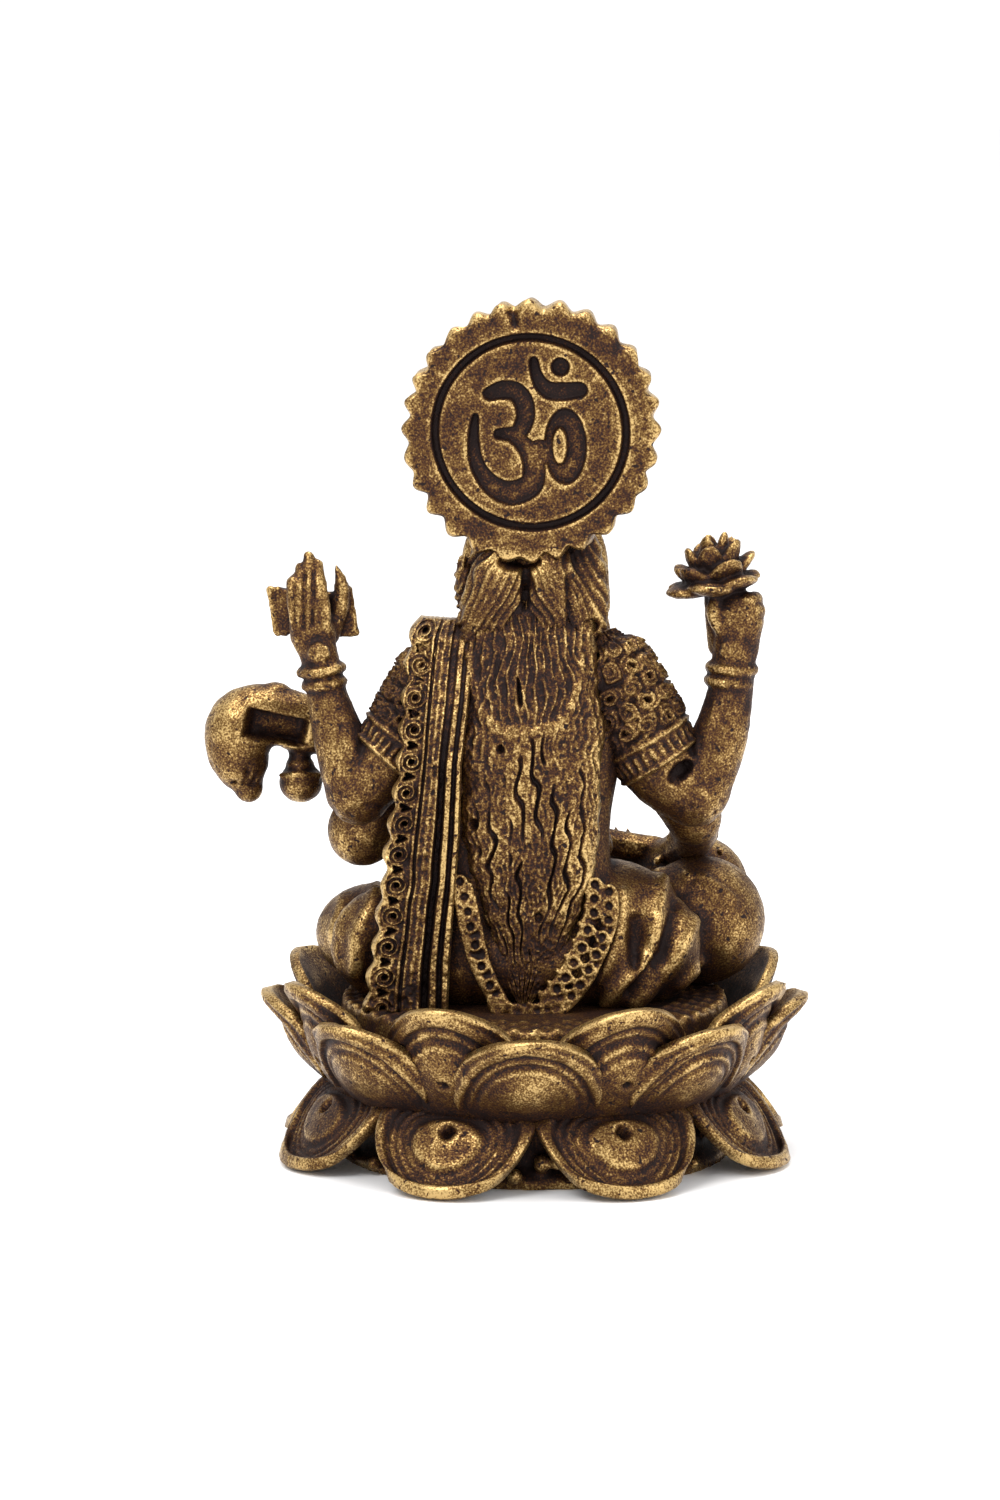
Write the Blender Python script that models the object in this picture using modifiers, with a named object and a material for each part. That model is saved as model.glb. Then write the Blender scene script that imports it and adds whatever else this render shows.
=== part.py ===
# Seated four-armed goddess with a lute on a double lotus, cast in one piece.
# Metres, +Z up. The origin is the centre of the flat underside, and the figure faces -Y.

import math

import bmesh
import bpy
from mathutils import Euler, Vector

# The lotus throne
SEAT_RADIUS = 0.0195
SEAT_HEIGHT = 0.0157
WAIST_RADIUS = 0.0175
BOWL_FLARE = 0.0006
BOWL_RADIUS = SEAT_RADIUS + BOWL_FLARE
WAIST_HEIGHT = 0.0068
FOOT_RADIUS = 0.0188
PETALS_IN_ROW = 8
PETAL_WALL = 0.0013
INNER_ROW_RADIUS = 0.0250
INNER_ROW_HEIGHT = 0.0189
OUTER_ROW_RADIUS = 0.0261
OUTER_ROW_HEIGHT = 0.0163
OUTER_ROW_TURN = math.radians(2)
LOWER_ROW_RADIUS = 0.0273
LOWER_TIP_LIFT = 0.0010
LOWER_PETAL_WALL = 0.0022
PETAL_WIDTH = 0.0158

# The halo disc, its scalloped edge and the carving on its back
HALO_RADIUS = 0.0129
SCALLOP_DEPTH = 0.0005
SCALLOPS = 28
HALO_THICKNESS = 0.0026
HALO_LEAN = math.radians(4)
HALO_TURN = math.radians(-5)
HALO_STRETCH = 0.02
RING_RADIUS = 0.0095
RING_WIDTH = 0.0010
CARVING_DEPTH = 0.0008

# The figure. Its pose and carving are drawn in units of FIGURE_UNITS to the figure's height,
# with the seat at zero height.
FIGURE_HEIGHT = 0.0710
FIGURE_UNITS = 71.0

# How the clay is joined and thinned
GRAIN = 0.00034
FACE_BUDGET = 8200
UNDERCUT = 0.0020

BRONZE = (0.36, 0.25, 0.11, 1.0)

unit = FIGURE_HEIGHT / FIGURE_UNITS
clay = bmesh.new()


def at(x, y, z):
    """A point of the figure, given in figure units above the seat."""
    return Vector((x * unit, y * unit, SEAT_HEIGHT + z * unit))


def press_in(obj):
    """Adds the object's evaluated mesh to the clay and removes the object."""
    bpy.context.view_layer.update()
    evaluated = obj.evaluated_get(bpy.context.evaluated_depsgraph_get())
    mesh = bpy.data.meshes.new_from_object(evaluated)
    mesh.transform(obj.matrix_world)
    clay.from_mesh(mesh)
    bpy.data.meshes.remove(mesh)
    bpy.data.objects.remove(obj)


def ball(centre, radii, turn=(0, 0, 0)):
    """An ellipsoid in figure units, turned by degrees about X, Y and Z."""
    bpy.ops.mesh.primitive_uv_sphere_add(segments=20, ring_count=12, radius=1)
    obj = bpy.context.object
    obj.location = at(*centre)
    obj.rotation_euler = Euler([math.radians(a) for a in turn])
    obj.scale = [r * unit for r in radii]
    press_in(obj)


def tube(points, radii, flat=1.0):
    """A round limb through the points in figure units. flat squeezes it front to back."""
    data = bpy.data.curves.new("limb", "CURVE")
    data.dimensions = "3D"
    data.bevel_depth = unit
    data.bevel_resolution = 3
    data.resolution_u = 5
    data.use_fill_caps = True
    spline = data.splines.new("BEZIER")
    spline.bezier_points.add(len(points) - 1)
    for knot, (x, y, z), radius in zip(spline.bezier_points, points, radii):
        knot.co = at(x, y / flat, z)
        knot.radius = radius
        knot.handle_left_type = knot.handle_right_type = "AUTO"
    obj = bpy.data.objects.new("limb", data)
    obj.scale = (1, flat, 1)
    bpy.context.collection.objects.link(obj)
    press_in(obj)


def sheet(place, across, along, wall):
    """A sheet of even thickness. place gives the point for u from -1 to 1 and v from 0 to 1."""
    bpy.ops.mesh.primitive_grid_add(x_subdivisions=across, y_subdivisions=along, size=2)
    obj = bpy.context.object
    for vertex in obj.data.vertices:
        vertex.co = place(vertex.co.x, (vertex.co.y + 1) / 2)
    solid = obj.modifiers.new("wall", "SOLIDIFY")
    solid.thickness = wall
    solid.offset = 0
    press_in(obj)


def turned(profile, centre=(0, 0, 0)):
    """A turned solid from (radius, height) points listed from the top down."""
    mesh = bpy.data.meshes.new("turned")
    points = [(r, 0, z) for r, z in profile]
    mesh.from_pydata(points, [(i, i + 1) for i in range(len(points) - 1)], [])
    obj = bpy.data.objects.new("turned", mesh)
    obj.location = centre
    bpy.context.collection.objects.link(obj)
    screw = obj.modifiers.new("turn", "SCREW")
    screw.steps = screw.render_steps = 40
    screw.use_merge_vertices = True
    screw.merge_threshold = 0.00001
    press_in(obj)


def both(points):
    """The same points mirrored to the other side of the body."""
    return [(-x, y, z) for x, y, z in points]


def petal_outline(v):
    """Half width of a petal, as a share of its full half width, from root to tip."""
    return (0.62 + 0.38 * math.sin(min(1, v / 0.62) * math.pi / 2)) * (1 - max(0, (v - 0.5) / 0.5) ** 2.6) ** 0.55


def petal(angle, spine, width, wall):
    """One petal. spine gives (radius, height) for v from root to tip; the sides wrap round."""

    def place(u, v):
        radius, height = spine(v)
        half = 0.5 * width * petal_outline(min(v, 0.995))
        turn = angle + u * half / max(radius, SEAT_RADIUS)
        inward = radius - 0.09 * radius * u * u * (0.35 + 0.65 * v)
        return Vector((inward * math.sin(turn), inward * math.cos(turn), height))

    sheet(place, 8, 10, wall)


def petal_row(spine, start, wall):
    for number in range(PETALS_IN_ROW):
        petal(2 * math.pi * number / PETALS_IN_ROW + start, spine, PETAL_WIDTH, wall)


def rising(tip_radius, tip_height):
    """Spine of a petal that bellies out from the bowl and rises to its tip."""

    def spine(v):
        out = BOWL_RADIUS + (tip_radius - BOWL_RADIUS) * math.sin(0.5 * math.pi * v)
        return out, WAIST_HEIGHT + (tip_height - WAIST_HEIGHT) * v

    return spine


def falling(v):
    """Spine of a lower petal, which arches down from the waist and lifts its tip off the ground."""
    radius = WAIST_RADIUS + (LOWER_ROW_RADIUS - WAIST_RADIUS) * v
    arch = max(0, 1 - (v / 0.9) ** 2.1)
    height = 0.45 * LOWER_PETAL_WALL + (WAIST_HEIGHT - LOWER_PETAL_WALL) * arch
    return radius, height + LOWER_TIP_LIFT * max(0, (v - 0.72) / 0.28) ** 2


def throne():
    turned([
        (0, SEAT_HEIGHT),
        (SEAT_RADIUS, SEAT_HEIGHT),
        (BOWL_RADIUS - 0.5 * PETAL_WALL, 0.5 * (SEAT_HEIGHT + WAIST_HEIGHT)),
        (BOWL_RADIUS - 0.7 * PETAL_WALL, WAIST_HEIGHT + 0.5 * PETAL_WALL),
        (WAIST_RADIUS, WAIST_HEIGHT),
        (FOOT_RADIUS, 0.3 * WAIST_HEIGHT),
        (FOOT_RADIUS + PETAL_WALL, 0.5 * PETAL_WALL),
        (FOOT_RADIUS + PETAL_WALL, -UNDERCUT),
        (0, -UNDERCUT),
    ])
    petal_row(rising(INNER_ROW_RADIUS, INNER_ROW_HEIGHT), math.pi / PETALS_IN_ROW, PETAL_WALL)
    petal_row(rising(OUTER_ROW_RADIUS, OUTER_ROW_HEIGHT), OUTER_ROW_TURN, PETAL_WALL)
    petal_row(falling, math.pi / PETALS_IN_ROW, LOWER_PETAL_WALL)


def legs():
    ball((0, 0.5, 4.5), (13, 8.2, 6.0))
    ball((-7, 0.6, 7.6), (8.4, 6.6, 6.6))
    ball((6, 0, 8.0), (7, 6, 5.5))
    for side, knee in ((1, (16.3, -5, 5.6)), (-1, (-16.6, -5.5, 6.8))):
        tube([(5 * side, 1, 5), (11 * side, -2, 5.6), knee], (6, 5.6, 5.2))
    ball((-17.1, -5.5, 6.9), (6.6, 6.2, 6.6))
    ball((16.4, -5.5, 5.6), (6.0, 6.0, 5.0))
    tube([(16, -8, 3.6), (8, -12.5, 3.4), (-3, -14.5, 3.0)], (3.8, 3.2, 2.2))
    tube([(-16, -8, 3.8), (-8, -13.5, 3.4), (3.5, -16.5, 2.6)], (3.8, 3.0, 2.0))
    ball((-6, -15, 2.4), (3.4, 1.8, 1.5), (0, 0, 15))
    ball((7, -17, 2.0), (3.4, 1.8, 1.4), (0, 0, -12))
    ball((0, -9, 3), (13, 8, 3.4))


def torso():
    ball((0, 0.8, 14), (7, 6, 9))
    ball((0, 0.4, 26), (9.0, 6.2, 8.5))
    for side in (1, -1):
        ball((3.7 * side, -4.8, 26.4), (3.3, 3.1, 3.2))
        ball((8.5 * side, 1.2, 32.7), (4.2, 4.0, 4.2))
        ball((6.6 * side, 1.2, 36.0), (3.2, 3.0, 2.6))
    tube([(0, 0.3, 31), (0, -0.5, 36), (0, -0.8, 41)], (4.2, 3.1, 3.1))
    tube([(8.4, -3.2, 34), (2.4, -7.6, 26.5), (-4, -6.0, 20), (-6.5, -3, 15)], (2.2, 2.0, 2.0, 1.8))
    tube([(5.2, -3.2, 34.2), (3.0, -5.6, 31.2), (0, -6.4, 29.6), (-3.0, -5.6, 31.2), (-5.2, -3.2, 34.2)], [0.9] * 5)


def head():
    ball((0, -1.4, 45.0), (5.1, 5.4, 6.3))
    ball((0, -2.9, 41.9), (3.7, 3.6, 3.3))
    ball((0, -6.9, 43.6), (0.75, 0.9, 1.3))
    ball((0, -6.1, 41.3), (1.5, 0.7, 0.6))
    for side in (1, -1):
        ball((2.0 * side, -5.9, 45.2), (1.2, 0.7, 0.6))
        ball((0.4 + 5.6 * side, -0.8, 43.8), (0.9, 1.2, 1.9))
        ball((0.5 + 6.3 * side, 0.2, 42.3), (1.6, 1.4, 2.3))


def crown():
    profile = [
        (0, 65.2), (1.0, 64.6), (1.5, 63.4), (1.0, 62.4), (2.1, 61.2), (2.9, 58.6),
        (3.9, 56.2), (4.6, 55.6), (4.5, 53.4), (5.4, 52.6), (5.6, 50.4), (6.2, 49.8),
        (6.1, 48.4), (5.0, 47.6), (0, 47.6),
    ]
    turned([(r * unit, z * unit) for r, z in profile], at(0, -0.8, 0))
    ball((0, -5.7, 54.2), (2.6, 1.2, 4.6), (8, 0, 0))
    for side in (1, -1):
        ball((4.0 * side, -4.0, 52.4), (1.7, 1.2, 3.0), (6, 14 * side, 0))


def hair():
    ball((0.4, 1.2, 45.8), (6.4, 5.4, 6.6))
    ball((0.4, 2.4, 40.2), (7.5, 4.2, 5.2))
    for side in (1, -1):
        for number in range(3):
            out = 2.2 + 1.7 * number
            tube([(0.5 + 0.6 * side, 6.0, 45.4 - number), (0.5 + out * side, 6.3, 42.6 - number),
                  (0.5 + (out + 1.9) * side, 4.6, 38.2)], (0.9, 1.2, 0.9))
    mass = [(0.4, 3.4, 38), (0.4, 5.2, 32), (0.4, 6.0, 25), (0.5, 6.2, 16), (0.6, 6.6, 9), (0.8, 7.4, 1.4)]
    tube(mass, (6.6, 7.0, 7.2, 6.8, 5.2, 0.9), flat=0.42)
    tube([(0.5, 4.6, 40), (0.5, 6.0, 34.5), (0.5, 7.2, 30.2)], (5.6, 5.9, 5.2), flat=0.42)
    locks(7, 6.2, 30.8, 1.6, 8.9, 0.95)
    locks(6, 4.8, 39.0, 29.4, 9.2, 0.85)


def locks(count, spread, top, bottom, depth, radius):
    """Wavy locks side by side on the back, drawn in to one point below."""
    rows = 7
    for number in range(count):
        share = 2 * number / (count - 1) - 1
        points = []
        for row in range(rows):
            down = row / (rows - 1)
            z = top + (bottom - top) * down
            taper = 1 - down ** 4 * 0.75 if bottom < 10 else 1 - 0.15 * down
            x = 0.5 + share * spread * taper + 0.45 * math.sin(row * 2.1 + number * 0.8)
            y = depth - 0.16 * (share * spread) ** 2 / spread - 1.1 * (1 - down) ** 3
            points.append((x, y, z))
        tube(points, [radius] * (rows - 1) + [0.4 * radius])


def sash():
    """The end of the sari that falls from the left shoulder to the seat, with its border."""
    left = [(12.5, 2.0, 36.9), (13.2, 5.6, 31), (13.5, 7.4, 24), (14.4, 8.0, 12), (16.0, 8.4, 0.2)]
    right = [(5.5, 3.2, 38.0), (6.2, 7.0, 31), (7.0, 8.0, 24), (8.0, 8.2, 12), (8.6, 8.4, 0.2)]

    def place(u, v):
        step = v * (len(left) - 1)
        low = min(int(step), len(left) - 2)
        rest = step - low
        across = (1 + u) / 2
        a = at(*left[low]).lerp(at(*left[low + 1]), rest)
        b = at(*right[low]).lerp(at(*right[low + 1]), rest)
        return b.lerp(a, across) + Vector((0, 0.25 * unit * math.cos(4 * math.pi * across), 0))

    sheet(place, 12, 14, 1.6 * unit)
    ribs = ((0.0, 0.9, 0.75), (0.30, 0.8, 0.55), (0.56, 0.8, 0.5), (0.80, 0.85, 0.5), (1.0, 0.9, 0.5))
    for share, radius, lift in ribs:
        points = [tuple(Vector(a).lerp(Vector(b), share)) for a, b in zip(left, right)]
        tube([(x, y + lift, z) for x, y, z in points], [radius] * len(points))
    knobs = 13
    for number in range(knobs):
        down = (number + 0.5) / knobs
        step = down * (len(left) - 1)
        low = int(step)
        spot = Vector(left[low]).lerp(Vector(left[low + 1]), step - low)
        ball((spot.x - 1.3, spot.y + 1.0, spot.z), (1.1, 0.8, 1.05))


def waist_border():
    """The beaded hem that meets in a point under the hair."""
    for start, end in (((8.7, 8.6, 13.0), (4.4, 9.0, 1.6)), ((-7.2, 8.4, 11.0), (-2.4, 9.0, 1.8))):
        for number in range(7):
            spot = Vector(start).lerp(Vector(end), number / 6)
            ball(tuple(spot), (1.15, 0.9, 1.0))
    for out, top in ((0.0, 11.5), (1.8, 8.5), (3.4, 5.0)):
        fold = ((-5.5 - out, 7.6 - out, 1.2), (-10 - out, 5.6 - out, 0.35 * top), (-13 - 0.6 * out, 0.6, top))
        tube(fold, (1.3, 1.7, 1.2))
    for fold in (((9, 4, 10), (14, -1, 8.5), (16, -6, 9.5)), ((10, 5, 5), (15, 0, 4), (18, -5, 4))):
        tube(fold, (1.2, 1.5, 1.3))


def raised_arms():
    tube([(9.0, 1.4, 33.0), (12.8, 2.0, 27.4), (16.6, 2.3, 22.7), (18.0, 2.4, 21.8)], (4.2, 3.8, 3.5, 3.3))
    ball((17.6, 2.4, 21.4), (3.3, 3.0, 3.4))
    tube([(18.0, 2.4, 21.5), (19.7, 2.3, 26.9), (21.2, 2.0, 32.2), (21.6, 2.0, 35.2), (22.2, 1.9, 37.8)],
         (3.2, 2.6, 1.95, 2.2, 2.2))
    tube([(-8.2, 1.4, 32.8), (-10.2, 1.7, 27.4), (-13.5, 2.0, 23.2), (-16.0, 2.2, 21.3)], (4.2, 4.3, 4.1, 3.5))
    ball((-16.4, 2.2, 21.5), (3.2, 3.0, 3.3))
    tube([(-16.6, 2.2, 21.7), (-18.7, 2.2, 27.3), (-19.6, 2.0, 31.8), (-20.0, 2.0, 35.4), (-20.3, 1.9, 38.8)],
         (3.2, 2.75, 2.2, 2.3, 2.4))
    for x, z in ((21.4, 33.7), (-19.6, 33.6)):
        ball((x, 2.0, z), (2.65, 2.5, 0.6), (0, 8, 0))
        ball((x, 2.0, z - 1.3), (2.4, 2.3, 0.6), (0, 8, 0))


def left_hand():
    """Back of the hand to the rear, fingers up, with a narrow book lying against the palm."""
    tube([(21.9, 2.0, 35.4), (22.3, 1.8, 37.8), (22.6, 1.6, 41.4)], (2.2, 2.5, 2.2), flat=0.55)
    tips = ((24.2, 43.2), (23.4, 44.5), (22.7, 45.4), (21.6, 44.6))
    for number, (x, z) in enumerate(tips):
        root = 24.1 - 1.05 * number
        tube([(root, 1.4, 39.4), (0.5 * (root + x), 1.2, 42.2), (x, 0.8, z)], (0.75, 0.72, 0.5))
    tube([(20.6, 0.8, 37.4), (19.8, 0.2, 40.8), (20.0, -0.2, 43.8)], (0.9, 0.85, 0.4))

    def page(u, v):
        middle = 22.05 + 0.85 * v
        return at(middle + (3.75 + 0.25 * v) * u, -0.8 + 0.5 * u, 37.2 + 4.2 * v)

    sheet(page, 4, 4, 2.0 * unit)


def right_hand():
    """A closed hand round the stem of a lotus that leans inward."""
    ball((-20.3, 1.8, 38.7), (3.1, 2.1, 3.0), (0, 8, 0))
    for number in range(4):
        tube([(-21.0, 2.7, 40.6 - 1.2 * number), (-23.4, 1.4, 41.0 - 1.2 * number),
              (-21.8, -0.5, 40.6 - 1.2 * number)], (0.85, 0.85, 0.75))
    tube([(-18.9, 1.0, 36.4), (-18.6, 0.8, 39.8), (-18.4, 0.8, 43.6)], (1.3, 1.5, 1.6))
    ball((-18.2, 0.8, 43.4), (3.0, 2.4, 1.5), (0, -6, 0))
    rows = ((9, 5.0, -0.5, 0.0), (8, 4.7, 1.9, 0.5), (6, 3.1, 3.8, 0.2), (4, 1.3, 4.1, 0.0))
    for count, reach, rise, start in rows:
        for number in range(count):
            turn = 2 * math.pi * (number + start) / count
            out = Vector((math.sin(turn), math.cos(turn), 0))
            foot = Vector((-18.2, 0.8, 43.2)) + out * reach * 0.25
            top = Vector((-18.1, 1.0, 43.7 + rise)) + out * reach
            top.z -= 0.32 * (out.x + 0.4 * out.y) * reach
            tube([tuple(foot), tuple(foot.lerp(top, 0.6)), tuple(top)], (0.9, 1.15, 0.5), flat=0.8)


def playing_arms():
    tube([(9.6, 0.6, 32.4), (15.0, -1.6, 23.4), (17.0, -3.0, 17.2)], (3.4, 3.4, 3.5))
    ball((17.5, -3.2, 16.6), (3.6, 3.4, 3.7))
    tube([(17.0, -3.4, 16.8), (17.0, -8.0, 19.6), (14.6, -12.0, 22.6)], (2.9, 2.4, 1.8))
    ball((13.6, -12.8, 23.6), (2.0, 1.9, 2.2), (0, -20, 0))
    tube([(-9.2, 0.6, 32.2), (-13.0, -1.0, 23.8), (-16.2, -2.8, 18.0)], (3.6, 3.3, 2.9))
    tube([(-16.2, -2.6, 18.2), (-16.3, -6.0, 15.6), (-14.0, -11.0, 12.8), (-10.8, -14.6, 11.5)], (2.7, 2.3, 1.8, 1.7))
    ball((-16.4, -5.6, 15.9), (2.6, 2.5, 0.9), (50, 0, 0))
    ball((-9.8, -14.8, 11.4), (2.4, 1.7, 1.5), (0, -10, 0))


def lute():
    """The veena: bowl on the right thigh, fretted neck, second gourd, and a head that curls over."""
    ball((-16.6, -12.4, 9.2), (5.6, 4.8, 5.4))
    tube([(-16.0, -12.8, 12.4), (-7, -12.8, 14.0), (6, -11.0, 18.9), (18, -8.0, 24.8), (24.5, -6.4, 27.0)],
         (1.5, 1.4, 1.5, 2.0, 2.7))
    tube([(21.0, -7.0, 26.0), (26.6, -6.0, 27.8), (30.3, -5.8, 26.9), (30.2, -5.8, 23.6), (29.6, -5.8, 21.9)],
         (2.5, 3.1, 3.6, 3.6, 3.0))
    ball((29.5, -5.8, 22.0), (3.1, 2.9, 3.0))
    ball((26.8, -6.2, 30.6), (1.5, 1.3, 0.9))
    tube([(24.6, -6.6, 26.2), (24.4, -7.4, 23.4)], (1.2, 1.2))
    ball((24.3, -7.6, 21.5), (2.4, 2.4, 2.5))
    ball((24.3, -7.6, 22.0), (2.65, 2.65, 0.5))


def halo():
    """The disc behind the crown, from a scalloped outline."""
    data = bpy.data.curves.new("halo", "CURVE")
    data.dimensions = "2D"
    data.fill_mode = "BOTH"
    data.extrude = 0.5 * HALO_THICKNESS
    spline = data.splines.new("POLY")
    steps = 8 * SCALLOPS
    spline.points.add(steps - 1)
    for number, point in enumerate(spline.points):
        turn = 2 * math.pi * number / steps
        radius = HALO_RADIUS - SCALLOP_DEPTH * (1 - abs(math.cos(0.5 * SCALLOPS * turn)))
        radius *= 1 + HALO_STRETCH * math.cos(2 * turn + 1)
        point.co = (radius * math.sin(turn), radius * math.cos(turn), 0, 1)
    spline.use_cyclic_u = True
    obj = bpy.data.objects.new("halo", data)
    bpy.context.collection.objects.link(obj)
    obj.rotation_euler = (math.pi / 2 - HALO_LEAN, 0, HALO_TURN)
    obj.location = halo_centre()
    press_in(obj)
    ball((0.2, 3.4, 55), (4.4, 2.6, 7.5))


def halo_centre():
    """The middle of the disc. Its top edge is the top of the figure."""
    return Vector((0.4 * unit, 5.7 * unit, SEAT_HEIGHT + FIGURE_HEIGHT - HALO_RADIUS * math.cos(HALO_LEAN)))


def fused():
    """The clay as one closed mesh, with any hollow sealed inside it filled."""
    mesh = bpy.data.meshes.new("clay")
    clay.to_mesh(mesh)
    clay.free()
    obj = bpy.data.objects.new("clay", mesh)
    bpy.context.collection.objects.link(obj)
    remesh = obj.modifiers.new("fuse", "REMESH")
    remesh.mode = "VOXEL"
    remesh.voxel_size = GRAIN
    smooth = obj.modifiers.new("smooth", "SMOOTH")
    smooth.factor = 0.5
    smooth.iterations = 2
    bpy.context.view_layer.update()
    evaluated = obj.evaluated_get(bpy.context.evaluated_depsgraph_get())
    result = bpy.data.meshes.new_from_object(evaluated)
    bpy.data.objects.remove(obj)
    bm = bmesh.new()
    bm.from_mesh(result)
    for shell in shells(bm):
        if shell_volume(shell) < 0:
            bmesh.ops.delete(bm, geom=shell, context="FACES")
    bm.to_mesh(result)
    bm.free()
    return result


def shells(bm):
    """The faces of each connected surface."""
    left = set(bm.faces)
    found = []
    while left:
        seed = left.pop()
        shell, edge = [seed], [seed]
        while edge:
            face = edge.pop()
            for link in face.edges:
                for other in link.link_faces:
                    if other in left:
                        left.remove(other)
                        shell.append(other)
                        edge.append(other)
        found.append(shell)
    return found


def shell_volume(faces):
    """Signed volume inside the faces, which is negative for a hollow."""
    total = 0.0
    for face in faces:
        points = [v.co for v in face.verts]
        for i in range(1, len(points) - 1):
            total += points[0].dot(points[i].cross(points[i + 1])) / 6
    return total


def on_halo(data, name, cutters):
    """Places a flat cutter, drawn as seen from behind, on the back of the halo."""
    obj = bpy.data.objects.new(name, data)
    cutters.objects.link(obj)
    obj.rotation_euler = (math.pi / 2 + HALO_LEAN, 0, math.pi + HALO_TURN)
    back = Vector((0, math.cos(HALO_LEAN), -math.sin(HALO_LEAN))) * 0.5 * HALO_THICKNESS
    back.rotate(Euler((0, 0, HALO_TURN)))
    obj.location = halo_centre() + back
    bpy.context.view_layer.update()
    evaluated = obj.evaluated_get(bpy.context.evaluated_depsgraph_get())
    mesh = bpy.data.meshes.new_from_object(evaluated)
    bm = bmesh.new()
    bm.from_mesh(mesh)
    bmesh.ops.remove_doubles(bm, verts=bm.verts, dist=0.000001)
    bmesh.ops.recalc_face_normals(bm, faces=bm.faces)
    bm.to_mesh(mesh)
    bm.free()
    cutter = bpy.data.objects.new(name, mesh)
    cutters.objects.link(cutter)
    cutter.matrix_world = obj.matrix_world
    bpy.data.objects.remove(obj)
    cutter.hide_render = True
    cutter.display_type = "WIRE"
    return cutter


def stroke(points, widths, depth):
    """A closed outline of changing width round a smooth line through the points."""
    line, half = [], []
    steps = 5
    for i in range(len(points) - 1):
        before, after = points[max(i - 1, 0)], points[min(i + 2, len(points) - 1)]
        for s in range(steps):
            t = s / steps
            line.append(catmull(before, points[i], points[i + 1], after, t))
            half.append(0.5 * (widths[i] + (widths[i + 1] - widths[i]) * t))
    line.append(Vector(points[-1]))
    half.append(0.5 * widths[-1])
    left, right = [], []
    for i, spot in enumerate(line):
        ahead = line[min(i + 1, len(line) - 1)] - line[max(i - 1, 0)]
        side = Vector((-ahead.y, ahead.x)).normalized() * half[i]
        left.append(spot + side)
        right.append(spot - side)
    data = bpy.data.curves.new("stroke", "CURVE")
    data.dimensions = "2D"
    data.fill_mode = "BOTH"
    data.extrude = depth
    spline = data.splines.new("POLY")
    outline = left + right[::-1]
    spline.points.add(len(outline) - 1)
    for point, spot in zip(spline.points, outline):
        point.co = (spot.x, spot.y, 0, 1)
    spline.use_cyclic_u = True
    return data


def catmull(a, b, c, d, t):
    a, b, c, d = Vector(a), Vector(b), Vector(c), Vector(d)
    return 0.5 * (2 * b + (c - a) * t + (2 * a - 5 * b + 4 * c - d) * t ** 2 + (3 * (b - c) + d - a) * t ** 3)


def ovals(outer, inner, depth):
    """A flat oval with an oval hole. Each oval is (x, y, half width, half height), or None."""
    data = bpy.data.curves.new("oval", "CURVE")
    data.dimensions = "2D"
    data.fill_mode = "BOTH"
    data.extrude = depth
    steps = 28
    for oval in (outer, inner):
        if oval is None:
            continue
        x, y, across, up = oval
        spline = data.splines.new("POLY")
        spline.points.add(steps - 1)
        for number, point in enumerate(spline.points):
            turn = 2 * math.pi * number / steps
            point.co = (x + across * math.cos(turn), y + up * math.sin(turn), 0, 1)
        spline.use_cyclic_u = True
    return data


# The strokes of the om sign as (points, widths), in shares of the ring's inner radius
SIGN_STROKES = (
    (((-0.44, 0.42), (-0.31, 0.46), (-0.17, 0.45), (-0.08, 0.35), (-0.05, 0.20), (-0.08, 0.08), (-0.15, -0.01),
      (-0.34, -0.02)), (0.15, 0.20, 0.21, 0.21, 0.20, 0.19, 0.17, 0.12)),
    (((-0.20, -0.05), (-0.08, -0.13), (0.01, -0.26), (0.04, -0.42), (0.00, -0.58), (-0.20, -0.67), (-0.39, -0.61),
      (-0.53, -0.46), (-0.60, -0.30), (-0.62, -0.15), (-0.62, 0.00), (-0.60, 0.17)),
     (0.12, 0.18, 0.23, 0.24, 0.25, 0.27, 0.23, 0.18, 0.15, 0.13, 0.11, 0.07)),
    (((0.04, 0.78), (0.06, 0.66), (0.12, 0.53), (0.21, 0.46), (0.35, 0.45), (0.54, 0.47)),
     (0.10, 0.12, 0.16, 0.19, 0.20, 0.17)),
)
SIGN_LOOP = (0.38, -0.15, 0.23, 0.42)
SIGN_ISLAND = (0.32, -0.15, 0.08, 0.19)
SIGN_BRIDGE = (0.11, -0.22, 0.15, 0.14)
SIGN_DOT = (0.33, 0.72, 0.10, 0.10)


def carving(cutters):
    """The cutters for the ring and the sign on the back of the halo."""
    inner = RING_RADIUS - 0.5 * RING_WIDTH
    outer = RING_RADIUS + 0.5 * RING_WIDTH

    def grown(oval):
        return tuple(inner * value for value in oval)

    made = []
    ring = ovals((0, 0, outer, outer), (0, 0, inner, inner), CARVING_DEPTH)
    made.append(on_halo(ring, "ring_cutter", cutters))
    for number, (points, widths) in enumerate(SIGN_STROKES):
        drawn = [(x * inner, y * inner) for x, y in points]
        line = stroke(drawn, [w * inner for w in widths], CARVING_DEPTH * (0.88 + 0.04 * number))
        made.append(on_halo(line, f"stroke_cutter_{number}", cutters))
    loop = ovals(grown(SIGN_LOOP), grown(SIGN_ISLAND), CARVING_DEPTH * 0.96)
    made.append(on_halo(loop, "loop_cutter", cutters))
    bridge = ovals(grown(SIGN_BRIDGE), None, CARVING_DEPTH * 0.8)
    made.append(on_halo(bridge, "bridge_cutter", cutters))
    made.append(on_halo(ovals(grown(SIGN_DOT), None, CARVING_DEPTH), "dot_cutter", cutters))
    return made


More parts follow.
